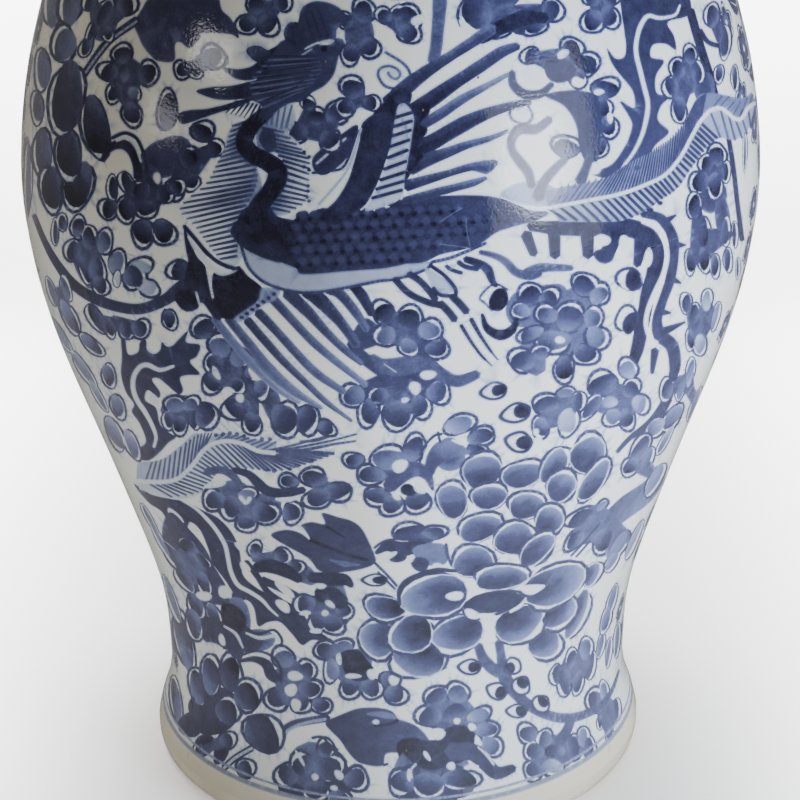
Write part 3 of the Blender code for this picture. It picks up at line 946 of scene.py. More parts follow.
def paint_left_branches(canvas):
    """The thorny branches down the left side."""
    canvas.stroke([(34, 215), (44, 240), (56, 262), (72, 283), (92, 297), (115, 306), (140, 309),
                   (165, 300), (182, 287), (200, 282)], (5, 6, 8, 10, 11, 11, 11, 12, 14, 16), 0.76)
    canvas.patch([(121, 336), (125, 338), (128, 354), (138, 352), (140, 342), (146, 340), (147, 350),
                  (154, 354), (160, 350), (162, 342), (166, 346), (172, 346), (180, 338), (188, 331),
                  (186, 342), (200, 345), (197, 356), (190, 362), (200, 374), (188, 375), (180, 378),
                  (183, 390), (178, 394), (166, 384), (158, 378), (152, 380), (160, 392), (158, 398),
                  (148, 390), (145, 400), (156, 408), (160, 424), (168, 432), (176, 437), (168, 443),
                  (160, 452), (150, 460), (140, 459), (136, 450), (146, 442), (140, 424), (132, 412),
                  (134, 404), (126, 392), (121, 374), (122, 356)], 0.78)
    canvas.stroke([(174, 366), (160, 370), (148, 365), (140, 367), (134, 376), (133, 388), (137, 400),
                   (145, 412), (152, 425), (156, 437), (154, 447)], (3, 5, 5, 5, 5, 4, 3), 0.04)
    canvas.patch([(150, 392), (158, 398), (158, 406), (150, 402)], 0.06)

    canvas.patch([(134, 484), (150, 494), (166, 498), (186, 502), (204, 511), (218, 518), (230, 530),
                  (238, 545), (241, 560), (243, 575), (254, 586), (268, 594), (284, 600), (300, 610),
                  (312, 626), (330, 640), (312, 640), (302, 645), (292, 634), (280, 622), (268, 622),
                  (258, 626), (254, 608), (246, 600), (234, 604), (230, 588), (221, 575), (212, 562),
                  (208, 548), (200, 530), (190, 522), (186, 532), (182, 518), (168, 508), (171, 528),
                  (162, 512), (148, 502)], 0.78)
    canvas.stroke([(178, 498), (195, 508), (207, 519), (217, 531), (225, 545), (228, 558), (231, 572),
                   (238, 585), (250, 592), (262, 600), (270, 609), (278, 616)], (2, 4, 4.5, 4.5, 4, 2),
                  0.05)
    canvas.soft_oval((188, 300), 14, 11, 0.95, 0.85)
    strokes(canvas, 0.8, [(8, [(262, 580), (285, 590), (305, 602)]),
                          (6, [(246, 562), (258, 577), (268, 592), (288, 606)])])
    blots(canvas, 0.04, [(247, 612, 5, 13, -12), (283, 606, 9, 5, 35), (244, 550, 4, 11, -50),
                         (262, 562, 7, 4, 40), (245, 567, 7, 4, 40)])


def paint_leaves(canvas):
    """Broad dark leaves."""
    canvas.patch([(158, -8), (140, 12), (134, 24), (138, 35), (143, 46), (150, 55), (158, 61), (174, 61),
                  (175, 45), (180, 42), (190, 48), (200, 38), (203, 33), (230, 34), (239, 38), (232, 20),
                  (222, 10), (212, -8)], 0.7, ((190, 10), (160, 58), 0.6))
    canvas.stroke([(137, 20), (112, 38), (98, 54), (83, 76)], (9, 8, 8, 7), 0.75)
    canvas.stroke([(137, 21), (112, 39), (98, 55), (84, 75)], 2.6, 0.25)
    canvas.patch([(312, 160), (320, 150), (340, 135), (358, 125), (352, 150), (340, 165), (325, 175),
                  (315, 172)], 0.8)
    canvas.stroke([(316, 164), (330, 152), (346, 138)], 2.4, 0.2)
    canvas.stroke([(312, 173), (330, 171), (345, 165), (358, 130)], 2.6, 0.75)
    canvas.stroke([(385, 52), (405, 65), (410, 78), (398, 88), (385, 86), (378, 75), (381, 68), (390, 66),
                   (398, 70), (400, 75), (396, 79), (390, 76), (388, 72)], 3, 0.62)

    canvas.patch([(322, 513), (338, 517), (352, 521), (362, 529), (369, 542), (375, 556), (375, 563),
                  (365, 568), (345, 572), (328, 573), (318, 570), (312, 562), (305, 556), (292, 549),
                  (278, 541), (271, 535), (278, 531), (290, 530), (302, 534), (311, 541), (305, 530),
                  (301, 525), (312, 522), (325, 524)], 0.74)
    strokes(canvas, 0.9, [(3, [(310, 540), (330, 548), (352, 556), (368, 560)]),
                          (2, [(326, 526), (345, 538)])])
    canvas.stroke([(330, 560), (345, 564), (360, 565)], (2, 6, 2), 0.55)
    strokes(canvas, 0.72, [(2.6, [(374, 562), (385, 573), (397, 586)]), (2.4, [(378, 572), (395, 589)])])

    canvas.patch([(326, 722), (345, 713), (360, 708), (380, 708), (393, 712), (398, 719), (405, 721),
                  (418, 727), (428, 738), (433, 752), (428, 760), (415, 760), (399, 757), (399, 753),
                  (386, 754), (383, 765), (372, 766), (358, 762), (348, 752), (340, 740), (330, 730)],
                 0.76, ((335, 725), (410, 735), 0.66))
    canvas.patch([(366, 714), (380, 711), (393, 714), (396, 719), (382, 718)], 0.45)
    canvas.patch([(398, 742), (415, 738), (432, 746), (430, 760), (412, 760), (399, 756)], 0.95)
    canvas.stroke([(398, 720), (390, 724), (374, 726)], 2.4, 0.9)
    canvas.oval((376, 722), 4, 2.6, 0.05)
    canvas.stroke([(383, 765), (388, 764)], 2.4, 0.8)
    canvas.stroke([(281, 742), (284, 731), (294, 724), (308, 721), (328, 718)], 8, 0.72)
    canvas.stroke([(282, 740), (286, 732), (296, 726), (310, 722), (326, 719)], 3.4, 0.3)

    canvas.patch([(600, 521), (618, 500), (638, 486), (662, 470), (664, 482), (650, 502), (632, 516),
                  (614, 527)], 0.66, ((612, 505), (640, 510), 0.42))
    canvas.stroke([(617, 452), (630, 438), (648, 425), (660, 412), (668, 398)], (4, 5, 8, 10, 10), 0.72)


def paint_twig(canvas):
    """The budding twig at the lower right."""
    strokes(canvas, 0.64, [
        ((9, 12, 13), [(478, 645), (483, 658), (492, 668), (502, 673)]),
        ((9, 9, 12), [(499, 642), (501, 655), (503, 670)]),
        ((14, 14, 13, 11, 10, 10, 9, 7, 4, 2), [(503, 666), (506, 680), (515, 692), (525, 702),
                                                (540, 712), (560, 718), (580, 716), (600, 706),
                                                (612, 690), (619, 670)]),
        ((9, 10, 12), [(571, 720), (566, 732), (558, 742)]),
    ])
    for place in ((470, 667, 12, 9, 0, 1), (513, 666, 9, 10, -30, -1), (497, 691, 11, 10, 20, 1),
                  (521, 686, 10, 11, 120, -1), (541, 704, 9, 11, 130, -1), (517, 711, 11, 8, 0, 1)):
        bud(canvas, *place)
    for place in ((494, 391, 14, 10, -10, 1), (516, 413, 16, 11, -15, 1), (519, 442, 14, 12, 10, 1),
                  (375, 580, 13, 7, 0, 1)):
        bud(canvas, *place)


# Peonies
def paint_peony(canvas):
    """The great peony at the lower right, its back petals laid like scales."""
    back = [(482, 470, 24, 19, -18), (523, 473, 23, 16, -15), (555, 464, 13, 24, 35),
            (589, 453, 20, 22, 20), (452, 499, 18, 20, 10), (489, 495, 22, 14, -12),
            (527, 504, 22, 15, -12), (562, 485, 18, 17, -40), (595, 479, 12, 27, 32),
            (480, 526, 24, 16, -12), (550, 519, 18, 17, -40), (515, 537, 24, 18, -25),
            (538, 548, 24, 14, -38), (473, 560, 22, 19, 0)]
    for x, y, across, down, tilt in back:
        petal(canvas, (490, 630), x, y, across, down, tilt, 0.78, lean=INWARD)
    canvas.stroke([(571, 556), (585, 541), (600, 523)], 2.2, 0.7)
    canvas.stroke([(576, 557), (590, 541)], 2.0, 0.7)
    front = [(593, 574, 9, 16, 32, 0.62), (579, 614, 10, 28, 24, 0.66), (546, 645, 20, 17, -10, 0.7),
             (562, 612, 22, 16, -52, 0.74), (418, 660, 31, 20, 0, 0.76), (376, 640, 20, 22, -8, 0.66),
             (383, 608, 22, 15, 12, 0.82), (410, 635, 25, 21, -10, 0.84), (520, 625, 28, 20, -18, 0.76),
             (457, 635, 29, 20, -24, 0.74), (502, 576, 31, 14, -8, 0.74), (556, 585, 35, 22, -27, 0.68),
             (433, 596, 35, 24, -10, 0.7)]
    for x, y, across, down, tilt, tone in front:
        petal(canvas, (495, 600), x, y, across, down, tilt, tone + 0.04, lean=INWARD)
    canvas.stroke([(400, 605), (399, 592), (406, 582), (420, 575), (438, 570), (456, 571)], (3, 6, 6, 3),
                  0.8)
    canvas.patch([(518, 590), (526, 585), (545, 585), (540, 591), (530, 595)], 0.03)
    petal(canvas, (480, 596), 492, 604, 31, 14, -14, 0.8)
    canvas.patch([(463, 606), (478, 595), (500, 592), (517, 593), (523, 600), (512, 608), (492, 613),
                  (474, 612)], 0.8)
    blots(canvas, 0.04, [(472, 614, 8, 5, 20), (489, 618, 10, 4), (455, 596, 9, 5)])
    canvas.stroke([(510, 612), (520, 606), (526, 598)], (3, 4, 2), 0.05)


def paint_left_peony(canvas):
    """The peony on the left side, seen almost edge on."""
    petals = [(52, 6, 10, 24, 0, 0.6), (72, 0, 14, 27, 12, 0.62), (63, 44, 14, 21, 8, 0.62),
              (42, 70, 10, 22, 0, 0.6), (37, 108, 8, 18, 0, 0.66), (28, 180, 5, 40, 0, 0.6),
              (42, 153, 12, 25, 0, 0.68), (51, 190, 13, 27, -4, 0.84), (95, 128, 15, 36, -8, 0.88),
              (78, 187, 17, 27, 8, 0.88), (68, 156, 16, 27, 0, 0.88), (66, 99, 20, 38, 6, 0.84)]
    for x, y, across, down, tilt, tone in petals:
        petal(canvas, (110, 60), x, y, across, down, tilt, tone)


def paint_low_peony(canvas):
    """The peony at the lower left, just over the foot."""
    petals = [(184, 640, 10, 36, -14, 0.72), (176, 700, 7, 26, -6, 0.66), (198, 686, 11, 21, -16, 0.74),
              (211, 674, 12, 22, -10, 0.74), (231, 672, 14, 20, -8, 0.92), (228, 710, 14, 17, -10, 0.82),
              (248, 695, 15, 19, -16, 0.86), (264, 733, 20, 24, -38, 0.84)]
    for x, y, across, down, tilt, tone in petals:
        petal(canvas, (190, 760), x, y, across, down, tilt, tone)
    blots(canvas, 0.85, [(213, 724, 5, 8), (190, 725, 11, 14, -10), (205, 745, 12, 10, -30),
                         (221, 752, 7, 14, 20), (192, 706, 4, 9)])
    flower(canvas, (215, 745), [(228, 740, 10, 11), (198, 752, 7, 10)])
    strokes(canvas, 0.75, [(7, [(224, 768), (235, 758), (252, 748)])])
    strokes(canvas, 0.15, [(3, [(224, 768), (235, 758), (252, 748)])])


# Small blossoms, by their place in the picture
UPPER_BLOSSOMS = [
    ((257, 14), [(246, 25, 12, 12), (269, 25, 13, 13), (256, 3, 12, 12), (283, 2, 11, 11)]),
    ((200, 64), [(213, 57, 15, 14, 0, 0.6), (182, 70, 10, 11), (196, 72, 8, 9)]),
    ((185, 160), [(203, 131, 13, 13), (216, 148, 10, 11), (192, 183, 10, 10), (175, 190, 12, 12),
                  (190, 157, 13, 13)]),
    ((315, 128), [(316, 116, 11, 11), (296, 133, 13, 13), (331, 141, 13, 13), (338, 112, 14, 13),
                  (308, 103, 9, 9)]),
    ((358, 30), [(364, 10, 14, 14), (345, 20, 10, 10), (370, 48, 13, 12), (350, 55, 12, 12)]),
    ((398, 26), [(408, 18, 16, 16), (383, 15, 10, 10), (410, 34, 13, 12), (398, 12, 9, 9)]),
    ((358, 100), [(352, 87, 14, 14), (372, 103, 10, 10), (345, 108, 12, 11)]),
    ((508, 12), [(475, 12, 19, 22), (498, 29, 14, 12), (522, 22, 15, 15), (505, -2, 14, 12)]),
    ((540, 14), [(553, 10, 13, 14), (536, 28, 14, 9, -20)]),
    ((602, 8), [(592, 22, 13, 14), (610, 18, 12, 13), (592, -3, 11, 11), (611, -2, 10, 10)]),
    ((560, 68), [(530, 56, 11, 11), (572, 48, 14, 13), (588, 64, 14, 14), (578, 80, 11, 10)]),
    ((594, 100), [(606, 87, 16, 12), (604, 108, 10, 12), (609, 127, 12, 13), (600, 148, 10, 12)]),
    ((688, 80), [(690, 54, 9, 11), (677, 68, 10, 12), (670, 87, 10, 12), (698, 72, 8, 13),
                 (679, 110, 9, 16)]),
    ((714, 172), [(717, 154, 11, 13), (706, 163, 9, 11), (699, 183, 12, 14), (715, 186, 10, 15),
                  (726, 172, 6, 12)]),
    ((722, 40), [(712, 15, 9, 15), (725, 42, 7, 20), (735, 78, 5, 14), (719, 74, 6, 11),
                 (745, 152, 3, 20)]),
    ((128, 82), [(122, 53, 12, 12), (108, 71, 12, 12), (149, 73, 12, 14), (114, 93, 9, 13, 25),
                 (132, 115, 12, 14), (134, 94, 8, 10, 0, 0.5), (124, 72, 8, 11, 0, 0.6)]),
    ((110, 20), [(86, 47, 8, 12, 25), (93, 30, 7, 14, 30), (104, 12, 10, 16, 25), (127, 4, 12, 14),
                 (90, 0, 8, 14, 20), (108, 34, 7, 10)]),
    ((168, 118), [(167, 110, 12, 22, 0, 0.66)]),
]

MIDDLE_BLOSSOMS = [
    ((148, 195), [(112, 188, 7, 14), (127, 184, 8, 16, -30), (108, 209, 11, 13), (125, 210, 11, 15),
                  (165, 195, 10, 11), (178, 187, 9, 10), (140, 190, 12, 12), (147, 210, 12, 11),
                  (143, 234, 14, 15), (164, 233, 14, 15)]),
    ((84, 262), [(55, 232, 5, 14), (62, 222, 7, 10), (78, 226, 9, 13), (89, 237, 9, 15),
                 (105, 241, 10, 14, 0, 0.6), (72, 250, 10, 13), (98, 270, 10, 16, -15, 0.68),
                 (101, 286, 10, 12, -10), (118, 263, 11, 15, 0, 0.5), (84, 270, 5, 18, -20)]),
    ((130, 276), [(141, 266, 14, 11, 0, 0.3), (150, 289, 12, 10, 0, 0.3), (135, 277, 13, 15, 0, 0.72),
                  (117, 279, 5, 9, 0, 0.2)]),
    ((190, 272), [(178, 270, 13, 12)]),
    ((166, 312), [(170, 320, 9, 12)]),
    ((112, 322), [(96, 319, 8, 20, -35), (110, 328, 7, 12, -20), (127, 330, 9, 12), (141, 329, 11, 12)]),
    ((60, 300), [(52, 292, 5, 18, -20, 0.6), (66, 288, 6, 15, -20, 0.6), (70, 318, 8, 22, -25, 0.6),
                 (92, 345, 8, 17, -50, 0.66), (60, 335, 6, 22, -35, 0.5), (84, 370, 6, 24, -35, 0.5),
                 (109, 376, 8, 15, -15), (118, 407, 9, 14, -20, 0.6), (98, 395, 5, 20, -30, 0.5),
                 (115, 434, 8, 22, -25, 0.55), (132, 445, 8, 18, -20, 0.55)]),
    ((222, 360), [(203, 327, 14, 14, 0, 0.84), (220, 345, 14, 14, 0, 0.6), (240, 358, 12, 12, 0, 0.6),
                  (212, 384, 13, 12), (213, 364, 11, 13), (256, 372, 13, 11), (238, 386, 10, 10),
                  (262, 388, 10, 14, 0, 0.66)]),
    ((180, 412), [(174, 404, 13, 10, 0, 0.6), (192, 404, 10, 10, 0, 0.6), (168, 420, 8, 11),
                  (180, 426, 10, 11), (195, 420, 7, 11), (207, 416, 14, 15)]),
    ((252, 400), [(236, 408, 17, 14), (252, 424, 11, 14), (286, 420, 16, 20, -10),
                  (308, 420, 14, 17, 15, 0.8), (327, 428, 12, 9, 25)]),
    ((405, 334), [(383, 312, 13, 14, 0, 0.97), (410, 317, 14, 15, 0, 0.97), (431, 330, 14, 13, 0, 0.58),
                  (438, 349, 14, 12, 0, 0.8), (384, 336, 13, 13, 0, 0.6), (409, 348, 12, 11, 0, 0.6)]),
    ((534, 308), [(530, 293, 14, 13, 0, 0.97), (550, 297, 12, 12, 0, 0.8), (520, 311, 12, 10, 0, 0.6)]),
    ((566, 326), [(585, 284, 15, 14), (600, 294, 13, 12, -40, 0.6), (594, 318, 11, 14, 0, 0.66),
                  (546, 314, 14, 12, 0, 0.66), (570, 316, 17, 16, 0, 0.72), (598, 338, 14, 14, 0, 0.6),
                  (586, 355, 15, 13), (564, 370, 13, 15, 10, 0.88), (552, 342, 20, 14, -8, 0.66),
                  (530, 334, 16, 9, -20, 0.66)]),
    ((634, 284), [(629, 279, 14, 13, 0, 0.04)]),
    ((628, 324), [(626, 318, 12, 14, 20, 0.04)]),
    ((702, 232), [(694, 205, 9, 15, 0, 0.97), (704, 232, 9, 17, 0, 0.97), (690, 262, 7, 14, 0, 0.95),
                  (704, 260, 8, 15, 0, 0.95), (715, 266, 7, 13, 0, 0.8), (726, 232, 6, 16, 0, 0.8),
                  (735, 234, 4, 14), (728, 260, 6, 13), (738, 268, 3, 12)]),
    ((700, 322), [(686, 303, 7, 13), (694, 313, 7, 12), (707, 300, 7, 13, 0, 0.4),
                  (700, 345, 8, 13, 0, 0.4), (716, 316, 5, 16, 15, 0.5), (690, 340, 6, 12)]),
    ((620, 402), [(602, 383, 18, 14, -30), (628, 368, 12, 12, 0, 0.5), (591, 407, 8, 18, 40, 0.76),
                  (632, 388, 11, 12), (608, 402, 11, 9, -20, 0.4), (641, 404, 11, 12, 0, 0.45),
                  (612, 418, 11, 11, 0, 0.55), (627, 420, 11, 12)]),
    ((690, 385), [(666, 390, 8, 14, 10), (680, 388, 6, 15, 10, 0.6), (690, 372, 6, 16, 12, 0.5),
                  (694, 405, 4, 20, 20, 0.5), (672, 418, 9, 18, 40, 0.6), (655, 428, 9, 14, 40, 0.5),
                  (665, 440, 5, 18, 30, 0.5)]),
    ((552, 412), [(566, 392, 11, 7, -15, 0.6), (579, 401, 9, 12, 15), (569, 422, 12, 17, 10, 0.35),
                  (545, 403, 16, 11, -20), (540, 428, 10, 13, 0, 0.7)]),
    ((640, 455), [(640, 448, 10, 18, 35, 0.7), (630, 467, 9, 13, 35), (648, 458, 7, 14, 25, 0.6),
                  (655, 480, 7, 22, 30, 0.5)]),
    ((540, 368), [(521, 360, 15, 14, 0, 0.76), (540, 352, 12, 9, -30, 0.7)]),
]

LOWER_BLOSSOMS = [
    ((396, 392), [(352, 396, 14, 14, 0, 0.66), (368, 413, 13, 16), (378, 396, 12, 11), (398, 416, 17, 18),
                  (421, 407, 13, 14), (439, 392, 14, 14, 0, 0.74)]),
    ((400, 470), [(388, 458, 21, 14, -8, 0.6), (353, 460, 12, 10), (370, 475, 16, 12),
                  (415, 447, 13, 16, 30), (460, 424, 18, 12, -22, 0.5), (482, 436, 16, 11, -12, 0.76),
                  (478, 450, 12, 8, 0, 0.9), (377, 497, 15, 12), (392, 506, 14, 13),
                  (418, 503, 15, 13, 0, 0.8)]),
    ((420, 545), [(409, 531, 18, 11, -8, 0.82), (435, 532, 14, 9, -5, 0.76)]),
    ((325, 488), [(288, 481, 12, 9), (313, 477, 16, 11), (338, 492, 17, 11), (317, 499, 16, 12)]),
    ((240, 500), [(213, 500, 13, 13), (230, 508, 12, 14), (248, 494, 11, 9, 0, 0.5), (247, 524, 12, 11),
                  (266, 514, 16, 13, 0, 0.76), (293, 513, 12, 13)]),
    ((258, 560), [(255, 549, 9, 10), (283, 556, 11, 10), (296, 567, 11, 9)]),
    ((328, 606), [(304, 604, 13, 12), (345, 611, 11, 10, 20), (318, 622, 13, 12), (333, 625, 14, 12)]),
    ((352, 664), [(325, 650, 14, 11), (343, 646, 13, 9, 0, 0.6), (331, 670, 10, 14, 0, 0.5),
                  (350, 688, 13, 13), (390, 680, 12, 10), (372, 689, 13, 13), (396, 695, 14, 12)]),
    ((294, 684), [(283, 657, 13, 13, 0, 0.62), (307, 670, 12, 12, 0, 0.75), (311, 690, 14, 12, 0, 0.74),
                  (276, 700, 14, 13), (301, 704, 13, 11), (322, 706, 12, 10)]),
    ((456, 722), [(436, 695, 15, 11, -15), (458, 692, 14, 12, 0, 0.66), (428, 716, 15, 13),
                  (480, 715, 14, 10, -20, 0.5), (488, 730, 14, 11, 0, 0.66), (492, 747, 13, 13, 0, 0.62),
                  (455, 711, 15, 13)]),
    ((432, 764), [(401, 783, 15, 15), (461, 780, 21, 13, 0, 0.86), (428, 786, 18, 16), (420, 815, 16, 12),
                  (450, 808, 15, 10)]),
    ((312, 772), [(326, 748, 11, 11), (357, 779, 14, 14), (286, 775, 14, 14), (302, 764, 14, 15),
                  (330, 768, 17, 16), (316, 792, 15, 13), (340, 800, 14, 12)]),
    ((560, 752), [(527, 733, 12, 12), (544, 738, 10, 11, 20, 0.7), (533, 751, 12, 12),
                  (584, 737, 8, 12, 0, 0.5), (553, 751, 13, 10), (574, 748, 9, 16), (590, 748, 8, 13),
                  (552, 768, 14, 10, 0, 0.4), (533, 771, 12, 12)]),
    ((574, 668), [(556, 675, 8, 12), (571, 658, 7, 12, 20), (564, 682, 9, 16), (578, 683, 7, 14, 15),
                  (591, 666, 6, 16, 15), (586, 648, 8, 14, 10, 0.6), (601, 645, 5, 14, 10, 0.6),
                  (609, 652, 4, 16, 8, 0.66)]),
    ((600, 708), [(595, 700, 12, 14), (604, 692, 6, 14, 0, 0.5), (617, 709, 5, 13), (610, 737, 5, 11),
                  (600, 722, 4, 9)]),
    ((602, 535), [(580, 517, 18, 10, -25, 0.8), (574, 540, 15, 9, -45), (603, 542, 12, 15, 35),
                  (620, 545, 8, 18, 30, 0.55), (612, 562, 6, 14, 30, 0.5), (602, 505, 10, 5, -45, 0.5),
                  (634, 540, 5, 22, 25, 0.45), (612, 600, 5, 18, 15, 0.6), (606, 620, 6, 16, 12, 0.6),
                  (617, 640, 4, 20, 5, 0.6)]),
    ((200, 560), [(188, 546, 14, 9, 35), (173, 556, 8, 20, -40, 0.75), (203, 561, 12, 7, 40),
                  (184, 580, 7, 18, -38, 0.75), (204, 584, 8, 15, -25), (196, 606, 9, 17, -20),
                  (214, 616, 8, 16, -20), (194, 625, 10, 18, -10), (160, 540, 4, 22, -30, 0.55),
                  (172, 600, 5, 28, -20, 0.55), (150, 520, 4, 20, -28, 0.5)]),
    ((244, 770), [(246, 768, 11, 12)]),
]


def paint_hearts(canvas):
    """Washes under and between the blossoms."""
    spots = [(175, 150, 20, 14), (160, 160, 22, 20), (690, 76, 10, 18), (128, 80, 14, 18),
             (105, 22, 14, 20, 25), (150, 190, 14, 26), (85, 262, 12, 26, -20), (228, 362, 20, 18),
             (245, 376, 16, 24), (180, 408, 20, 12), (390, 392, 34, 14), (408, 402, 16, 14),
             (450, 455, 16, 16, -30), (615, 400, 20, 18, -20), (560, 412, 22, 14), (566, 330, 20, 28),
             (590, 300, 14, 18, 30), (230, 498, 20, 18), (262, 508, 22, 14), (330, 600, 18, 26, -10),
             (300, 572, 22, 9, 30), (356, 665, 18, 16), (290, 680, 16, 16), (456, 728, 24, 22),
             (430, 764, 36, 22), (312, 770, 30, 26), (552, 752, 26, 18), (574, 668, 12, 22, 20),
             (195, 570, 16, 44, -20), (236, 618, 16, 20, -20), (253, 640, 22, 12), (712, 196, 14, 18),
             (722, 214, 8, 20), (705, 90, 10, 20), (530, 14, 26, 12), (270, 400, 10, 24, -15),
             (360, 34, 14, 20), (338, 46, 8, 8)]
    for spot in spots:
        blots(canvas, 0.86 * wash_depth(*spot[:2]), [spot])
    pools = [
        (0.55, [(508, 302), (520, 290), (560, 284), (568, 300), (552, 314), (540, 326), (515, 326),
                (506, 314)]),
        (0.56, [(556, 300), (580, 284), (602, 284), (604, 300), (596, 316), (606, 330), (600, 348),
                (585, 352), (570, 366), (552, 352), (530, 366), (512, 356), (530, 338), (556, 332)]),
        (0.7, [(366, 318), (385, 330), (405, 330), (425, 318), (440, 330), (445, 350), (425, 358),
               (405, 348), (380, 345), (360, 350), (352, 335)]),
        (0.72, [(360, 384), (396, 370), (425, 369), (442, 384), (430, 400), (395, 405), (370, 400)]),
        (0.7, [(170, 512), (190, 530), (205, 548), (214, 566), (226, 586), (228, 604), (206, 602),
               (190, 588), (176, 566), (162, 535)]),
        (0.74, [(200, 628), (225, 612), (245, 625), (262, 640), (255, 652), (230, 650), (210, 646)]),
        (0.74, [(205, 690), (230, 690), (240, 712), (228, 730), (205, 735), (190, 720)]),
        (0.76, [(280, 780), (310, 760), (345, 765), (352, 790), (320, 800), (285, 798)]),
        (0.74, [(398, 770), (430, 762), (470, 770), (470, 795), (430, 800), (395, 795)]),
        (0.78, [(318, 590), (345, 598), (350, 620), (330, 632), (308, 625)]),
        (0.3, [(500, 196), (515, 184), (540, 182), (560, 192), (556, 204), (530, 206)]),
    ]
    for tone, outline in pools:
        canvas.patch(outline, tone)


def paint_bright_side(canvas):
    """The blossoms under the light's reflection, and those beside it."""
    canvas.stroke([(480, 40), (500, 28), (524, 18), (546, 18)], (10, 15, 16, 10), 0.86)
    canvas.stroke([(460, 20), (466, 30), (478, 33), (488, 26)], (3, 7, 7, 3), 0.04)
    canvas.patch([(545, 95), (575, 90), (598, 98), (601, 130), (598, 160), (590, 168), (580, 150),
                  (576, 125), (564, 106)], 0.72)
    canvas.stroke([(512, 72), (513, 84), (524, 94), (540, 94), (552, 84)], (7, 9, 10, 9, 6), 0.72)
    canvas.oval((534, 75), 13, 10, 0.03, 15)
    canvas.oval((559, 70), 16, 13, 0.74)
    canvas.stroke([(570, 46), (577, 58), (586, 66), (594, 70)], (10, 11, 12, 9), 0.86)
    blots(canvas, 0.03, [(563, 54, 7, 4, -25), (577, 82, 6, 5), (599, 92, 5, 3.4), (595, 168, 8, 6, -20),
                         (610, 118, 3, 6)])
    canvas.oval((521, 113), 13, 12, 0.6)
    canvas.oval((521, 113), 10.4, 9.4, 0.04)
    canvas.stroke([(550, 119), (536, 129), (520, 129), (512, 138), (512, 150), (520, 162), (528, 172),
                   (532, 186)], (8, 10, 11, 9, 8, 10, 10, 8), 0.66)
    petal(canvas, (567, 160), 566, 146, 16, 13, 0, 0.75)
    canvas.stroke([(566, 158), (554, 170), (544, 182), (538, 198)], (7, 9, 10, 12), 0.62)
    canvas.stroke([(590, 155), (586, 168), (580, 182)], (9, 9, 12), 0.66)
    blots(canvas, 0.04, [(418, 20, 8, 5, -20)])
    blots(canvas, 0.97, [(633, 280, 9, 10), (630, 323, 6.5, 13, 22)])
    canvas.patch([(489, 300), (496, 289), (506, 290), (508, 302), (500, 311), (491, 309)], 0.97)
    strokes(canvas, 0.66, [(2.4, [(508, 290), (494, 284), (480, 297), (486, 304), (492, 311)])])
    canvas.stroke([(482, 314), (487, 328), (500, 335), (512, 330), (517, 318)], (3, 8, 11, 9, 4), 0.92)
    canvas.oval((36, 272), 3, 5, 0.8)


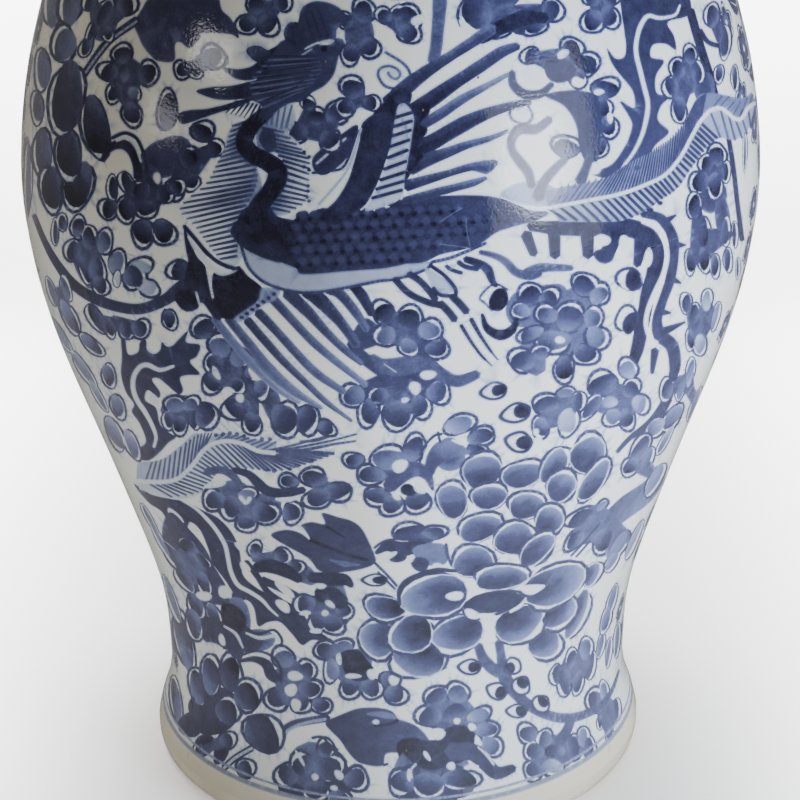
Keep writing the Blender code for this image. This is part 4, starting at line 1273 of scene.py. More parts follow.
def paint_accents(canvas):
    """The elbowed branches, curls and white slivers laid over the blossoms."""
    canvas.stroke([(350, 342), (362, 356), (376, 367), (390, 377), (402, 386)], (9, 12, 13, 12, 9), 0.7)
    canvas.stroke([(372, 356), (384, 366), (405, 366), (425, 364), (442, 375), (458, 381), (478, 374)],
                  (6, 16, 20, 16, 14, 13, 9), 0.6, 0.66)
    strokes(canvas, 0.05, [((2, 4.5, 2), [(440, 360), (448, 368), (458, 373), (470, 370)]),
                           ((1, 3, 1), [(384, 364), (396, 372)])])
    blots(canvas, 0.04, [(428, 375, 8, 5, -10), (415, 388, 6, 7), (405, 400, 4, 3)])

    canvas.patch([(424, 470), (427, 455), (436, 443), (450, 440), (464, 446), (469, 454), (456, 457),
                  (444, 461), (437, 468), (432, 476)], 0.74, ((430, 468), (455, 445), 0.5))
    strokes(canvas, 0.04, [((2, 4, 2), [(423, 468), (426, 453), (435, 440), (446, 437)]),
                           ((2, 5, 3), [(452, 440), (462, 444)])])
    strokes(canvas, 0.76, [(2.6, [(420, 462), (424, 447), (434, 436), (442, 434)]),
                           (2.6, [(438, 432), (440, 442)])])
    canvas.stroke([(388, 488), (400, 476), (415, 469), (427, 475), (433, 490)], (14, 17, 16, 11, 3), 0.66)
    canvas.oval((408, 490), 8, 6, 0.9)
    blots(canvas, 0.04, [(420, 488, 8, 5, 30), (400, 466, 9, 6, -20), (396, 496, 3, 6, -40)])

    canvas.stroke([(376, 553), (388, 546), (404, 549), (424, 545)], (4, 11, 15, 10), 0.8)
    canvas.patch([(412, 549), (430, 543), (446, 546), (447, 562), (434, 566), (420, 562)], 0.5)
    blots(canvas, 0.88, [(397, 557, 9, 6), (420, 564, 10, 7)])
    strokes(canvas, 0.72, [(2.6, [(374, 548), (385, 541), (402, 539), (428, 541)]),
                           (3, [(446, 544), (448, 556), (452, 566)])])
    blots(canvas, 0.04, [(390, 556, 8, 3, -35), (411, 559, 5, 3, -50), (437, 566, 6, 3)])

    canvas.stroke([(233, 470), (248, 474), (258, 483), (268, 491), (285, 493), (304, 490)],
                  (6, 8, 10, 10, 9, 7), 0.78)
    canvas.stroke([(206, 472), (222, 470), (234, 477), (241, 488)], 8, 0.6)
    strokes(canvas, 0.05, [(3, [(276, 499), (286, 501), (298, 498)]),
                           (4, [(240, 497), (246, 503), (250, 498)])])
    canvas.patch([(203, 488), (214, 480), (226, 482), (220, 487)], 0.05)

    strokes(canvas, 0.84, [
        ((10, 14, 12, 5), [(310, 577), (330, 579), (345, 580), (352, 586)]),
        ((14, 18, 14), [(318, 594), (332, 596), (344, 604)]),
        ((8, 13, 14, 10), [(300, 580), (288, 572), (270, 566), (255, 568)]),
    ])
    blots(canvas, 0.05, [(320, 586, 7, 3), (307, 590, 10, 3, 28), (285, 590, 12, 4, 40),
                         (330, 604, 6, 3, 40), (325, 613, 4, 3), (305, 613, 6, 2.6), (316, 631, 6, 3)])
    canvas.patch([(342, 652), (358, 650), (367, 660), (374, 670), (368, 679), (356, 681), (346, 674),
                  (342, 662)], 0.9)
    blots(canvas, 0.05, [(353, 676, 8, 3), (372, 674, 5, 6), (339, 659, 3, 6), (394, 680, 6, 5)])
    canvas.stroke([(240, 661), (254, 659), (266, 664), (271, 674), (277, 679)], (3, 6, 10, 12, 10), 0.8)
    strokes(canvas, 0.75, [(2.6, [(240, 656), (255, 651), (270, 655), (280, 667), (281, 682)])])
    blots(canvas, 0.05, [(295, 676, 8, 5), (291, 690, 6, 7), (296, 705, 5, 7)])

    canvas.patch([(222, 604), (236, 606), (246, 618), (242, 632), (230, 634), (222, 622)], 0.9)
    canvas.stroke([(205, 622), (218, 628), (230, 640), (239, 656)], (12, 15, 16, 12), 0.78, 0.7)
    canvas.stroke([(224, 626), (236, 634), (243, 648)], (2, 3.4, 2), 0.1)
    canvas.stroke([(246, 633), (260, 638), (274, 636), (281, 642)], (2, 4, 4, 2), 0.1)
    canvas.stroke([(244, 629), (258, 634), (274, 630), (282, 640), (280, 646)], 2.6, 0.8)
    blots(canvas, 0.05, [(212, 648, 12, 5, 10), (222, 640, 3, 7, -20), (204, 596, 8, 5, 20),
                         (225, 592, 8, 6, 20)])

    canvas.oval((456, 738), 21, 12, 0.92)
    blots(canvas, 0.05, [(457, 721, 4, 3), (472, 727, 4, 4.4), (437, 734, 9, 6, 10),
                         (478, 741, 3, 6, -20)])
    canvas.patch([(400, 744), (430, 740), (460, 744), (470, 756), (455, 764), (430, 770), (412, 762)],
                 0.9)
    canvas.stroke([(450, 752), (472, 752), (485, 763), (497, 773), (514, 768)], (18, 18, 15, 14, 8), 0.7,
                  0.84)
    canvas.stroke([(478, 747), (487, 755), (494, 765)], (1.5, 3.4, 2), 0.1)
    blots(canvas, 0.05, [(451, 766, 5, 4), (471, 767, 8, 2.6, -10), (427, 756, 2.6, 6, -30),
                         (409, 775, 2, 7)])
    canvas.stroke([(412, 778), (411, 770), (416, 764)], 2.4, 0.1)

    blots(canvas, 0.06, [(315, 777, 3.5, 4), (339, 775, 6, 4, 40), (300, 758, 2, 9, -30),
                         (334, 788, 4, 3)])
    strokes(canvas, 0.75, [(2.6, [(312, 738), (322, 737), (329, 744), (338, 750)]),
                           (2.6, [(330, 748), (342, 756), (348, 770)])])
    blots(canvas, 0.05, [(536, 432, 3, 4), (537, 440, 6, 2.6), (157, 178, 4, 6), (535, 72, 6, 5),
                         (580, 82, 5, 4), (560, 340, 5, 4), (216, 373, 3, 8, -30), (229, 390, 6, 3, 20),
                         (240, 398, 4, 5), (257, 372, 9, 8)])
    canvas.stroke([(102, 160), (110, 148), (122, 144), (132, 151), (137, 165), (138, 178)],
                  (4, 8, 10, 10, 9, 9), 0.86)
    strokes(canvas, 0.8, [(3.4, [(112, 138), (125, 133), (137, 139), (144, 155), (147, 172)])])
    canvas.stroke([(116, 141), (127, 138), (136, 147), (141, 162)], (2, 4, 3.4, 2), 0.1)


# Borders and the parts of the jar that the photograph leaves out
FOOT_LINES = (787.5, 795.0)  # picture rows of the two lines at the foot, read at the column below
FOOT_COLUMN = 500.0


def ground(radius):
    """A canvas in picture units on a wall of about this radius in millimetres, and the units round it."""
    girth = 2 * math.pi * radius
    scale = np.array([UNIT * GIRTH / girth, UNIT])
    return Canvas(lambda points: np.asarray(points, float) * scale), girth / UNIT


LINE_POINTS = 25  # points round the jar that a turned line bends at, before it is smoothed


def turned_lines(canvas, around, lines):
    """Lines right round a wall, each as (level in millimetres, width, tone)."""
    way = np.linspace(-0.501, 0.501, LINE_POINTS) * around
    for level, width, tone in lines:
        canvas.stroke([(x, level / UNIT) for x in way], width, tone)


def blossom(canvas, x, y, size, tone=0.85, petals=5, turn=0.3):
    """A small round blossom with a white heart."""
    places = [turn + 2 * math.pi * i / petals for i in range(petals)]
    ring = [(x + size * math.cos(a), y + size * math.sin(a), 0.72 * size, 0.72 * size) for a in places]
    flower(canvas, (x, y), ring, tone)
    canvas.oval((x, y), 0.26 * size, 0.26 * size, 0.05)


def leaf(canvas, x, y, length, turn, tone=0.75):
    """A pointed leaf from its stalk, with a white vein. turn is in degrees."""
    c, s = math.cos(math.radians(turn)), math.sin(math.radians(turn))
    shape = [(0, 0), (0.25, 0.2), (0.6, 0.22), (1.0, 0.0), (1.0, 0.0), (0.55, -0.2), (0.2, -0.16)]
    canvas.patch([(x + length * (u * c - v * s), y + length * (u * s + v * c)) for u, v in shape], tone)
    canvas.stroke([(x + 0.15 * length * c, y + 0.15 * length * s),
                   (x + 0.8 * length * c, y + 0.8 * length * s)], (2.4, 1.0), 0.15)


def lappet(canvas, x, y, wide, drop, tone=0.8):
    """A cloud-headed lappet that hangs from a line."""
    half = [(0.47, 0.0), (0.45, 0.34), (0.32, 0.5), (0.4, 0.68), (0.26, 0.86), (0.1, 0.8), (0.0, 1.0)]
    shape = half + [(-u, v) for u, v in half[-2::-1]]
    for share, depth in ((1.0, tone), (0.9, 0.03), (0.78, 0.62 * tone), (0.5, 0.08)):
        canvas.patch([(x + u * wide * share, y - v * drop * share) for u, v in shape], depth)


def paint_shoulder():
    """A collar of lappets below the neck, with blossoms and leaves between it and the picture."""
    canvas, around = ground(103.0)
    count = 8
    pitch = around / count
    for i in range(count * 2):
        x = (i / 2 - count / 2) * pitch
        leaf(canvas, x, 939, 52, 35 + 110 * (i % 2))
        blossom(canvas, x + 0.1 * pitch, 957 + 6 * (i % 3), 15, 0.86, 5, i)
    for i in range(count):
        x = (i + 0.5 - count / 2) * pitch
        lappet(canvas, x, 1082, 0.98 * pitch, 104)
        blossom(canvas, x, 1052, 11)
        blossom(canvas, x + pitch / 2, 1000, 12)
    turned_lines(canvas, around, [(466.2, 4.0, 0.75), (470.2, 9.0, 0.8)])
    return canvas.on_sheet()


SIDE_STEMS = (212.0, -228.0)  # millimetres round the unrolled jar, midway between the two pictures


def paint_sides():
    """A flowering stem on each side of the jar, between the picture and its repeat."""
    canvas, _ = ground(GIRTH / (2 * math.pi))
    for middle in SIDE_STEMS:
        x = middle / UNIT
        levels = np.arange(74, 914, 30)
        stem = [(x + 16 * math.sin(0.021 * level), level) for level in levels]
        canvas.stroke(stem, 9, 0.76)
        for i, (stem_x, level) in enumerate(stem[1::2]):
            side = 1 if i % 2 else -1
            leaf(canvas, stem_x, level, 46, 90 - side * 62)
            leaf(canvas, stem_x, level - 12, 40, 90 + side * 75)
            blossom(canvas, stem_x - side * 38, level + 26, 15, 0.84, 5 + i % 2, i)
            blossom(canvas, stem_x + side * 66, level + 8, 12, 0.8, 5, 2 * i)
            blossom(canvas, stem_x - side * 82, level - 8, 12, 0.8, 5, 3 * i)
        canvas.stroke(stem, 3, 0.08)
    return canvas.on_sheet()


def paint_foot():
    """Two lines turned round the jar just over the foot, with bare glaze below them."""
    canvas, around = ground(GIRTH / (2 * math.pi))
    levels = [photo_to_sheet([(FOOT_COLUMN, row)])[0, 1] for row in FOOT_LINES]
    turned_lines(canvas, around, [(0.5 * levels[1], levels[1] / UNIT, 0.0)])
    turned_lines(canvas, around, [(level, width, 0.34) for level, width in zip(levels, (2.6, 5.0))])
    return canvas.on_sheet()


def paint_neck(length):
    """Sprays of blossom between turned lines."""
    canvas, around = ground(74.5)
    count = 10
    pitch = around / count
    middle = 0.5 * length / UNIT
    for i in range(count):
        x = (i + 0.5 - count / 2) * pitch
        leaf(canvas, x + 22, middle, 34, 28)
        leaf(canvas, x - 22, middle, 34, 152)
        leaf(canvas, x + 20, middle - 4, 30, -30)
        leaf(canvas, x - 20, middle - 4, 30, 210)
        blossom(canvas, x, middle, 17, 0.86, 6, i)
    lines = [(2.0, 7.0, 0.8), (5.0, 3.0, 0.7), (length - 5.5, 3.0, 0.7), (length - 1.6, 8.0, 0.8)]
    turned_lines(canvas, around, lines)
    return canvas.on_sheet()


def paint_cover(length):
    """Sprays of blossom on the dome, a collar of petals round the knob and a border on the brim."""
    canvas, around = ground(58.0)
    count = 6
    pitch = around / count
    for i in range(count):
        x = (i + 0.5 - count / 2) * pitch
        canvas.stroke([(x - 70, 120), (x - 30, 100), (x + 10, 116), (x + 42, 150), (x + 78, 132)], 5,
                      0.75)
        leaf(canvas, x - 46, 110, 46, 75)
        leaf(canvas, x + 44, 148, 44, -60)
        leaf(canvas, x + 50, 150, 40, 70)
        leaf(canvas, x - 40, 104, 40, -35)
        blossom(canvas, x, 146, 26, 0.88, 7, i)
        blossom(canvas, x + 68, 100, 16, 0.84, 5, i)
        blossom(canvas, x - 66, 176, 14, 0.84, 5, i)
        blossom(canvas, x + 30, 196, 13, 0.8, 5, i)
    teeth = 44
    for i in range(teeth):
        x = (i - teeth / 2) * around / teeth
        canvas.stroke([(x, 24), (x + 9, 34), (x + 9, 44)], (5, 7, 3), 0.72)
    turned_lines(canvas, around, [(3.0, 6.0, 0.75), (8.4, 2.6, 0.7), (22.4, 3.0, 0.75), (28.5, 4.0, 0.75),
                                  (31.5, 2.4, 0.6), (92.5, 2.6, 0.65)])
    petals = 14
    for i in range(petals):
        x = (i - petals / 2) * around / petals
        lappet(canvas, x, (length + 2) / UNIT, 0.98 * around / petals, 62)
    return canvas.on_sheet()


def paint_bud(length):
    """Closed petals, and a dark tip."""
    canvas, around = ground(19.0)
    count = 8
    pitch = around / count
    for i in range(count * 2):
        x = (i / 2 - count / 2) * pitch
        tall = (0.82 if i % 2 else 0.62) * length / UNIT
        shape = [(-0.5, 0.0), (-0.5, 0.35), (-0.3, 0.75), (0.0, 1.0), (0.3, 0.75), (0.5, 0.35),
                 (0.5, 0.0)]
        for share, tone in ((1.0, 0.85), (0.8, 0.08), (0.6, 0.7)):
            canvas.patch([(x + u * pitch * share, v * tall * share) for u, v in shape], tone)
    turned_lines(canvas, around, [(0.93 * length, 0.14 * length / UNIT, 0.85), (1.0, 6.0, 0.8)])
    return canvas.on_sheet()


def paint_front():
    """The side of the jar that the photograph shows."""
    canvas = Canvas(photo_to_sheet)
    paint_leaves(canvas)
    paint_branches(canvas)
    paint_left_branches(canvas)
    paint_hearts(canvas)
    paint_second_tail(canvas)
    paint_left_peony(canvas)
    paint_low_peony(canvas)
    for heart, petals in UPPER_BLOSSOMS + MIDDLE_BLOSSOMS + LOWER_BLOSSOMS:
        flower(canvas, heart, petals)
    paint_accents(canvas)
    paint_bright_side(canvas)
    paint_twig(canvas)
    paint_peony(canvas)
    paint_tail(canvas)
    paint_ruff(canvas)
    paint_lower_wing(canvas)
    paint_body(canvas)
    paint_upper_wing(canvas)
    paint_head(canvas)
    paint_legs(canvas)
    return canvas.on_sheet()


def paint_jar():
    """All marks on the unrolled jar. The back carries the same design as the front."""
    front = paint_front()
    turned = np.array([GIRTH / 2, 0.0])
    back = [(outline + turned, tone, last, fade + turned, core) for outline, tone, last, fade,
            core in front]
    return paint_sides() + paint_shoulder() + back + front + paint_foot()


# Materials
WHITE = (1.0, 1.0, 1.0)
BLACK = (0.0, 0.0, 0.0)


def ramp(tree, source, stops):
    """A colour ramp from a list of (place, colour)."""
    node = tree.nodes.new("ShaderNodeValToRGB")
    while len(node.color_ramp.elements) < len(stops):
        node.color_ramp.elements.new(0.5)
    for element, (place, colour) in zip(node.color_ramp.elements, stops):
        element.position = place
        element.color = (*colour, 1.0)
    tree.links.new(source, node.inputs["Fac"])
    return node.outputs["Color"]


def math_node(tree, operation, a, b, clamp=False):
    """Arithmetic on two values, each a number or a socket."""
    node = tree.nodes.new("ShaderNodeMath")
    node.operation = operation
    node.use_clamp = clamp
    for socket, value in zip(node.inputs, (a, b)):
        if isinstance(value, (int, float)):
            socket.default_value = value
        else:
            tree.links.new(value, socket)
    return node.outputs[0]


def noise(tree, scale, detail=2.0, roughness=0.5):
    """A noise value in the object's own space. scale is in waves per metre."""
    place = tree.nodes.new("ShaderNodeTexCoord")
    node = tree.nodes.new("ShaderNodeTexNoise")
    node.inputs["Scale"].default_value = scale
    node.inputs["Detail"].default_value = detail
    node.inputs["Roughness"].default_value = roughness
    tree.links.new(place.outputs["Object"], node.inputs["Vector"])
    return node.outputs["Fac"]


def swing(tree, scale, detail, amount):
    """Noise that swings to both sides of zero."""
    centred = math_node(tree, "SUBTRACT", noise(tree, scale, detail), 0.5)
    return math_node(tree, "MULTIPLY", centred, amount)


def mix(tree, share, a, b, blend="MIX"):
    """Two colours mixed by a share, each of them a tuple or a socket."""
    node = tree.nodes.new("ShaderNodeMix")
    node.data_type = "RGBA"
    node.blend_type = blend
    sockets = [s for s in node.inputs if s.type == "RGBA"]
    if isinstance(share, float):
        node.inputs["Factor"].default_value = share
    else:
        tree.links.new(share, node.inputs["Factor"])
    for socket, value in zip(sockets, (a, b)):
        if isinstance(value, tuple):
            socket.default_value = (*value, 1.0)
        else:
            tree.links.new(value, socket)
    return [s for s in node.outputs if s.type == "RGBA"][0]


def new_material(name):
    """A named material, with its node tree and its shader."""
    material = bpy.data.materials.new(name)
    material.use_nodes = True
    return material, material.node_tree, material.node_tree.nodes["Principled BSDF"]


# Cobalt under the glaze, from none to the deepest
COBALT = [
    (0.00, (0.735, 0.775, 0.785)),
    (0.10, (0.560, 0.635, 0.725)),
    (0.22, (0.355, 0.430, 0.590)),
    (0.45, (0.118, 0.148, 0.315)),
    (0.70, (0.036, 0.041, 0.110)),
    (1.00, (0.008, 0.008, 0.023)),
]

# Tints of the glaze
FOOT_GLAZE = (0.86, 0.78, 0.64)  # bare, round the foot
FOOT_GREY = (0.52, 0.54, 0.57)  # a grey mixed in towards the foot
MOST_FOOT_GREY = (0.08, 0.08, 0.08)  # the share of that grey at the foot
LEFT_PAINTED_REFLECTION = (0.42, 0.40, 0.42)  # a painted reflection on the front left
BACK_TINT = (0.86, 0.84, 0.80)
SPECK = (0.12, 0.085, 0.05)
PATCHES = [(0.35, (0.96, 0.945, 0.92)), (0.65, WHITE)]

# Tints of the front from left to right, low and high on the jar, and where they give way to the back's
# Painted shade: the front is darker and warmer towards its left, most of all high up.
LOW_FRONT_PAINTED_SHADE = [(0.0, (0.66, 0.63, 0.57)), (0.4, (0.80, 0.78, 0.73)), (0.62, WHITE)]
HIGH_FRONT_PAINTED_SHADE = [(0.0, (0.58, 0.50, 0.37)), (0.6, (0.72, 0.69, 0.62)), (1.0, WHITE)]
FRONT_START = -0.022
FRONT_END = 0.012

# Tints of the plain glaze and of bare clay
CREAM = [(0.3, (0.54, 0.50, 0.41)), (0.7, (0.62, 0.58, 0.49))]
# Painted shade: the plain glaze is darker and warmer towards the jar's left.
CREAM_PAINTED_SHADE = [(0.0, (0.74, 0.70, 0.62)), (1.0, WHITE)]
STANDING_EDGE = (0.36, 0.24, 0.13)
BARE_HEIGHT = 0.004  # metres up the foot that the glaze leaves bare
BARE_WAVER = 0.006  # metres that this wavers by
CLAY = [(0.3, (0.50, 0.40, 0.29)), (0.7, (0.66, 0.57, 0.45))]


def glaze_bump(tree, shader):
    """The faint ripple and the pinholes of a fired glaze."""
    ripple = noise(tree, 90.0, 2.0)
    pits = noise(tree, 850.0, 1.0)
    height = math_node(tree, "ADD", ripple, math_node(tree, "MULTIPLY", pits, 0.5))
    bump = tree.nodes.new("ShaderNodeBump")
    bump.inputs["Strength"].default_value = 1.0
    bump.inputs["Distance"].default_value = 0.00011
    tree.links.new(height, bump.inputs["Height"])
    tree.links.new(bump.outputs["Normal"], shader.inputs["Normal"])


def along_axis(tree, axis, low, high):
    """How far a point lies from low to high along one axis of the object, from 0 to 1."""
    place = tree.nodes.new("ShaderNodeTexCoord")
    split = tree.nodes.new("ShaderNodeSeparateXYZ")
    tree.links.new(place.outputs["Object"], split.inputs["Vector"])
    spread = math_node(tree, "SUBTRACT", split.outputs[axis], low)
    return math_node(tree, "DIVIDE", spread, high - low, clamp=True)


def painted_glaze():
    """Glaze over cobalt. The tone attribute says how deep the cobalt lies.

    The glaze is greyer towards the foot and warm round it. Painted shade darkens and warms the front towards
    its left, and a painted reflection pales the front left, most along its edge. It has a few brown specks.
    """
    material, tree, shader = new_material("painted_glaze")
    attribute = tree.nodes.new("ShaderNodeAttribute")
    attribute.attribute_name = "tone"
    tone = attribute.outputs["Fac"]
    uneven = math_node(tree, "ADD", swing(tree, 170.0, 3.0, 0.4), swing(tree, 900.0, 2.0, 0.22))
    depth = math_node(tree, "MULTIPLY", tone, math_node(tree, "ADD", uneven, 1.06), clamp=True)
    colour = ramp(tree, depth, COBALT)
    # Greyer towards the foot: a little grey is mixed into the cobalt and the glaze, most at the foot.
    foot_grey_share = ramp(tree, along_axis(tree, "Z", 0.0, 0.32), [(0.0, MOST_FOOT_GREY), (1.0, BLACK)])
    greyed = mix(tree, foot_grey_share, colour, FOOT_GREY)
    # Painted reflection: a grey veil over the front left, low down, strongest along the jar's left edge.
    painted_reflection = math_node(tree, "MULTIPLY", along_axis(tree, "X", -0.09, -0.14),
                     along_axis(tree, "Z", 0.27, 0.19))
    rim = math_node(tree, "MULTIPLY", along_axis(tree, "X", -0.143, -0.160), 0.4)
    painted_reflection = math_node(tree, "ADD", math_node(tree, "MULTIPLY", painted_reflection, 0.2), rim)
    painted_reflection = math_node(tree, "MULTIPLY", painted_reflection, along_axis(tree, "Y", FRONT_END, FRONT_START))
    greyed = mix(tree, painted_reflection, greyed, LEFT_PAINTED_REFLECTION)
    # Painted shade: darker and warmer towards the front left, low down and high up.
    low = ramp(tree, along_axis(tree, "X", -0.12, 0.10), LOW_FRONT_PAINTED_SHADE)
    high = ramp(tree, along_axis(tree, "X", -0.15, 0.05), HIGH_FRONT_PAINTED_SHADE)
    side = mix(tree, along_axis(tree, "Z", 0.22, 0.38), low, high)
    side = mix(tree, along_axis(tree, "Y", FRONT_START, FRONT_END), side, BACK_TINT)
    patchy = ramp(tree, noise(tree, 14.0, 2.0), PATCHES)
    tinted = mix(tree, 1.0, mix(tree, 1.0, greyed, side, "MULTIPLY"), patchy, "MULTIPLY")
    foot = ramp(tree, along_axis(tree, "Z", 0.016, 0.024), [(0.0, FOOT_GLAZE), (1.0, WHITE)])
    tinted = mix(tree, 1.0, tinted, foot, "MULTIPLY")
    specks = ramp(tree, noise(tree, 420.0, 0.0), [(0.0, BLACK), (0.89, BLACK), (0.91, WHITE)])
    tree.links.new(mix(tree, specks, tinted, SPECK), shader.inputs["Base Color"])
    shader.inputs["Roughness"].default_value = 0.06
    shader.inputs["Specular IOR Level"].default_value = 0.38
    glaze_bump(tree, shader)
    return material


def plain_glaze():
    """Cream glaze that warms and roughens to bare biscuit at the standing edge."""
    material, tree, shader = new_material("clear_glaze")
    place = tree.nodes.new("ShaderNodeTexCoord")
    split = tree.nodes.new("ShaderNodeSeparateXYZ")
    tree.links.new(place.outputs["Object"], split.inputs["Vector"])
    level = math_node(tree, "ADD", split.outputs["Z"], swing(tree, 70.0, 3.0, BARE_WAVER))
    share = math_node(tree, "MULTIPLY", level, 1 / BARE_HEIGHT)
    unglazed = math_node(tree, "SUBTRACT", 1.0, share, clamp=True)
    cloud = ramp(tree, noise(tree, 40.0, 3.0), CREAM)
    # Painted shade: darker and warmer towards the left of the jar.
    side = ramp(tree, along_axis(tree, "X", -0.12, 0.08), CREAM_PAINTED_SHADE)
    cloud = mix(tree, 1.0, cloud, side, "MULTIPLY")
    tree.links.new(mix(tree, unglazed, cloud, STANDING_EDGE), shader.inputs["Base Color"])
    rough = math_node(tree, "ADD", 0.18, math_node(tree, "MULTIPLY", unglazed, 0.5))
    tree.links.new(rough, shader.inputs["Roughness"])
    glaze_bump(tree, shader)
    return material


def bare_biscuit():
    """Fired clay without glaze."""
    material, tree, shader = new_material("biscuit")
    cloud = ramp(tree, noise(tree, 120.0, 4.0), CLAY)
    tree.links.new(cloud, shader.inputs["Base Color"])
    shader.inputs["Roughness"].default_value = 0.8
    bump = tree.nodes.new("ShaderNodeBump")
    bump.inputs["Strength"].default_value = 0.3
    bump.inputs["Distance"].default_value = 0.0005
    tree.links.new(noise(tree, 900.0, 3.0), bump.inputs["Height"])
    tree.links.new(bump.outputs["Normal"], shader.inputs["Normal"])
    return material


PAINTED = painted_glaze()
CLEAR = plain_glaze()
BISCUIT = bare_biscuit()


# Turned pieces
def turned_piece(name, node, rider, material, path):
    """A turned piece from a path of (radius, height, tone), up its outer side and down its inner side."""
    piece = Piece()
    rings = [piece.ring(radius, height, TURNED_SEGMENTS) for radius, height, _ in path]
    tones = [tone for *_, tone in path]
    if path[0][0] > NEAR:
        rings.append(rings[0])
        tones.append(tones[0])
    for i in range(len(rings) - 1):
        piece.join(rings[i], rings[i + 1], outward=True, tones=tones[i:i + 2])
    return piece.finish(name, node, rider, material)


def bare(points):
    """A path of (radius, height) with no painting on it."""
    return [(radius, height, 0.0) for radius, height in points]


def inside_path(node):
    """The inside of a thrown section from its bottom to its top."""
    levels, _, inner = cad_rings(node)
    path = smooth(np.column_stack([inner, levels]), steps=2)
    return [tuple(p) for p in path]


def make_body(marks):
    """The three painted sections of the jar's body, cut from one painting so that the brushwork runs on."""
    seams = [cad_rings(node)[0][0] for node in BODY_NODES] + [cad_rings("shoulder")[0][-1]]
    rows = [float(body.length_at(height)) for height in seams]
    cut = cut_sheet(marks, rows)
    for node, low, high in zip(BODY_NODES, rows, rows[1:]):
        piece = Piece()
        bottom, top = painted_wall(piece, body, cut, low, high)
        line_shell(piece, bottom, top, inside_path(node))
        piece.finish(f"{node}_painted", node, "jar", PAINTED)


def painted_piece(node, rider, profile, paint, closing, tip=None):
    """A turned piece with a painted outer wall, closed along a path, and with a tip if one is given."""
    wall = Wall(*np.transpose(profile))
    length = float(wall.along[-1])
    piece = Piece()
    bottom, top = painted_wall(piece, wall, cut_sheet(paint(length), [0.0, length]), 0.0, length)
    line_shell(piece, bottom, top, closing)
    if tip is not None:
        piece.join(top, piece.ring(0.0, tip, 1), outward=True)
    piece.finish(f"{node}_painted", node, rider, PAINTED)


def make_foot():
    """The foot ring, rounded to its standing edge, and the floor of the jar."""
    top = 10.5
    outer = smooth([(105.0, 0.0), (107.2, 0.8), (109.0, 2.6), (110.2, 5.5), (110.5, 8.0),
                    (110.5, top - 0.1)], steps=4)
    inner = smooth([(86.0, top), (88.4, 6.0), (91.4, 2.2), (95.0, 0.0)], steps=3)
    corner = [(110.5, top - 0.05), (110.5, top), (110.4, top)]
    turned_piece("foot_ring_fine", "foot_ring", "jar", CLEAR, bare([*outer, *corner, *inner]))
    low, high = 10.5, 23.5
    floor = [(0, low), (60, low), (90, low), (90, high - 1.5), (88.5, high), (70, high - 1.0),
             (40, high - 2.2), (0, high - 3.0)]
    turned_piece("base_floor_fine", "base_floor", "jar", CLEAR, bare(floor))


def make_neck():
    """The neck and its bare rim."""
    low, waist, shelf, top = cad_rings("neck")[0]
    profile = [(77.0, low), (74.6, low + 7.0), (73.5, waist), (74.1, waist + 12.0), (75.0, shelf)]
    closing = [(68.0, low), (68.0, waist), (68.0, shelf), (68.4, top - 0.4), (69.5, top), (73.5, top),
               (74.6, top - 0.4)]
    painted_piece("neck", "jar", profile, paint_neck, closing)


def make_luting_bands():
    """The bands of slip that hold the thrown sections together inside."""
    for node in ("lower_luting_band", "upper_luting_band"):
        levels, outer, inner = cad_rings(node)
        path = smooth([(outer[0], levels[0]), (outer[1], levels[1]), (outer[2], levels[2])], steps=1)
        back = smooth([(outer[2], levels[2]), (inner[1], levels[1]), (inner[0], levels[0])], steps=4)
        turned_piece(f"{node}_fine", node, "jar", BISCUIT, bare([*path, *back[1:-1]]))


def make_cover():
    """The domed cover with its brim, the ring that locates it in the neck, and the knob."""
    seat = cad_rings("cover_dome")[0][0]

    def raised(points):
        return [(radius, seat + height) for radius, height in points]

    dome = [(97, 0), (98.6, 1.8), (99, 4), (97, 6), (97, 6), (83, 6), (83, 6), (80, 9), (74, 24),
            (66.5, 36.9), (56, 50), (41.5, 59.9), (26, 67), (12.7, 69.4)]
    inside = [(59.5, 0), (59.5, 16), (56, 30), (50, 43), (38.5, 53), (24, 60), (12, 62.8), (0, 63.5)]
    painted_piece("cover_dome", "cover", raised(dome), paint_cover, raised(inside), seat + 70)
    ring = [(59.5, -22.3), (64, -22.3), (65.2, -21.6), (65.5, -20.8), (65.5, -0.3), (59.5, -0.3)]
    turned_piece("cover_locating_ring_fine", "cover_locating_ring", "cover", BISCUIT,
                 bare(raised(ring)))
    collar = smooth([(18, 70.3), (19, 73.3), (16, 75.3), (11.5, 79.3), (12.5, 84.3)], steps=4)
    tones = np.interp(collar[:, 1], (70.3, 72.0, 74.0, 76.0, 82.0, 84.3),
                      (0.8, 0.75, 0.1, 0.1, 0.15, 0.8))
    path = [(r, seat + h, tone) for (r, h), tone in zip(collar, tones)]
    ends = [(0, seat + 70.3, 0.0)], [(0, seat + 84.3, 0.0)]
    turned_piece("knob_collar_fine", "knob_collar", "cover", PAINTED,
                 [*ends[0], *path, *ends[1]])
    knob = [(11.5, 84.6), (15.4, 87.5), (19, 91), (22.2, 96.7), (24, 103), (23.1, 109.3), (20, 115),
            (14.1, 118.6), (8, 121.4), (4.9, 124.6), (3, 127.4)]
    painted_piece("knob_bud", "cover", raised(knob), paint_bud, raised([(0, 84.6)]), seat + 130.6)


make_body(paint_jar())
make_foot()
make_neck()
make_luting_bands()
make_cover()


# Stage
def make_light(name, place, target, size, power, colour, spread=180.0, shape="RECTANGLE", mirrored=True):
    """An area light. One that isn't mirrored lights the jar without showing in its glaze."""
    data = bpy.data.lights.new(name, "AREA")
    data.shape = shape
    data.size, data.size_y = size
    data.energy = power
    data.color = colour
    data.spread = math.radians(spread)
    light = bpy.data.objects.new(name, data)
    light.location = place
    light.rotation_euler = (Vector(target) - Vector(place)).to_track_quat("-Z", "Y").to_euler()
    light.visible_camera = False
    light.visible_glossy = mirrored
    bpy.context.scene.collection.objects.link(light)


KEY_COLOUR = (0.91, 0.97, 1.05)


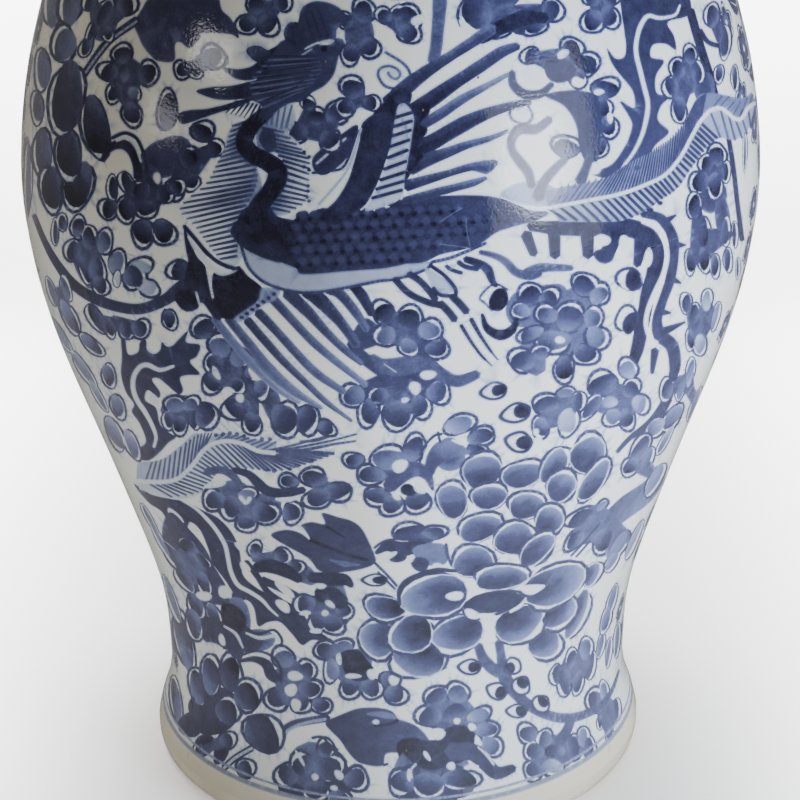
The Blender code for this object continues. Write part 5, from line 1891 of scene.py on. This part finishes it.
def make_stage():
    """A pale floor with a soft glow, a dim pale surround, and the lights.

    The softbox on the right is three lights: a weak one and a bright middle that both show in the glaze,
    and a soft one that doesn't. Two small lamps on the left make the spots on the shoulder. A light on each
    side brightens the floor beside the jar, and a large one the floor behind it.
    """
    bpy.ops.mesh.primitive_grid_add(x_subdivisions=8, y_subdivisions=8, size=16.0,
                                    location=(0, 0, -0.0002))
    floor = bpy.context.object
    floor.name = "floor"
    material, tree, shader = new_material("pale_floor")
    tone = ramp(tree, noise(tree, 3.0, 2.0), [(0.3, (0.80, 0.80, 0.80)), (0.7, (0.82, 0.82, 0.82))])
    tree.links.new(tone, shader.inputs["Base Color"])
    shader.inputs["Roughness"].default_value = 0.6
    shader.inputs["Emission Color"].default_value = (1.0, 0.985, 0.96, 1.0)
    shader.inputs["Emission Strength"].default_value = 0.42
    floor.data.materials.append(material)
    floor.visible_glossy = False
    world = bpy.data.worlds.new("studio")
    world.use_nodes = True
    world.node_tree.nodes["Background"].inputs["Color"].default_value = (1.0, 0.97, 0.93, 1.0)
    world.node_tree.nodes["Background"].inputs["Strength"].default_value = 0.2
    bpy.context.scene.world = world
    make_light("key", (0.57, -0.60, 0.355), (0, 0, 0.355), (0.48, 0.51), 2.3, KEY_COLOUR)
    make_light("key_middle", (0.53, -0.62, 0.352), (0, 0, 0.352), (0.30, 0.27), 2.6, KEY_COLOUR,
               shape="ELLIPSE")
    make_light("key_soft", (0.57, -0.60, 0.36), (0, 0, 0.36), (0.48, 0.51), 6.0, KEY_COLOUR,
               mirrored=False)
    make_light("high_lamp", (-1.08, -0.66, 0.73), (-0.07, -0.12, 0.37), (0.33, 0.19), 1.2,
               (1.0, 0.96, 0.94))
    make_light("low_lamp", (-1.25, -0.43, 0.41), (-0.09, -0.12, 0.35), (0.28, 0.1), 0.3,
               (1.0, 0.93, 0.85))
    for x in (-0.29, 0.31):
        make_light("side_light", (x, 0.02, 0.36), (x, 0.02, 0), (0.22, 0.9), 3.2, WHITE, 40.0,
                   mirrored=False)
    make_light("floor_light", (0, 1.5, 2.4), (0, 1.5, 0), (2.4, 2.0), 165.0, WHITE, 50.0, mirrored=False)


make_stage()
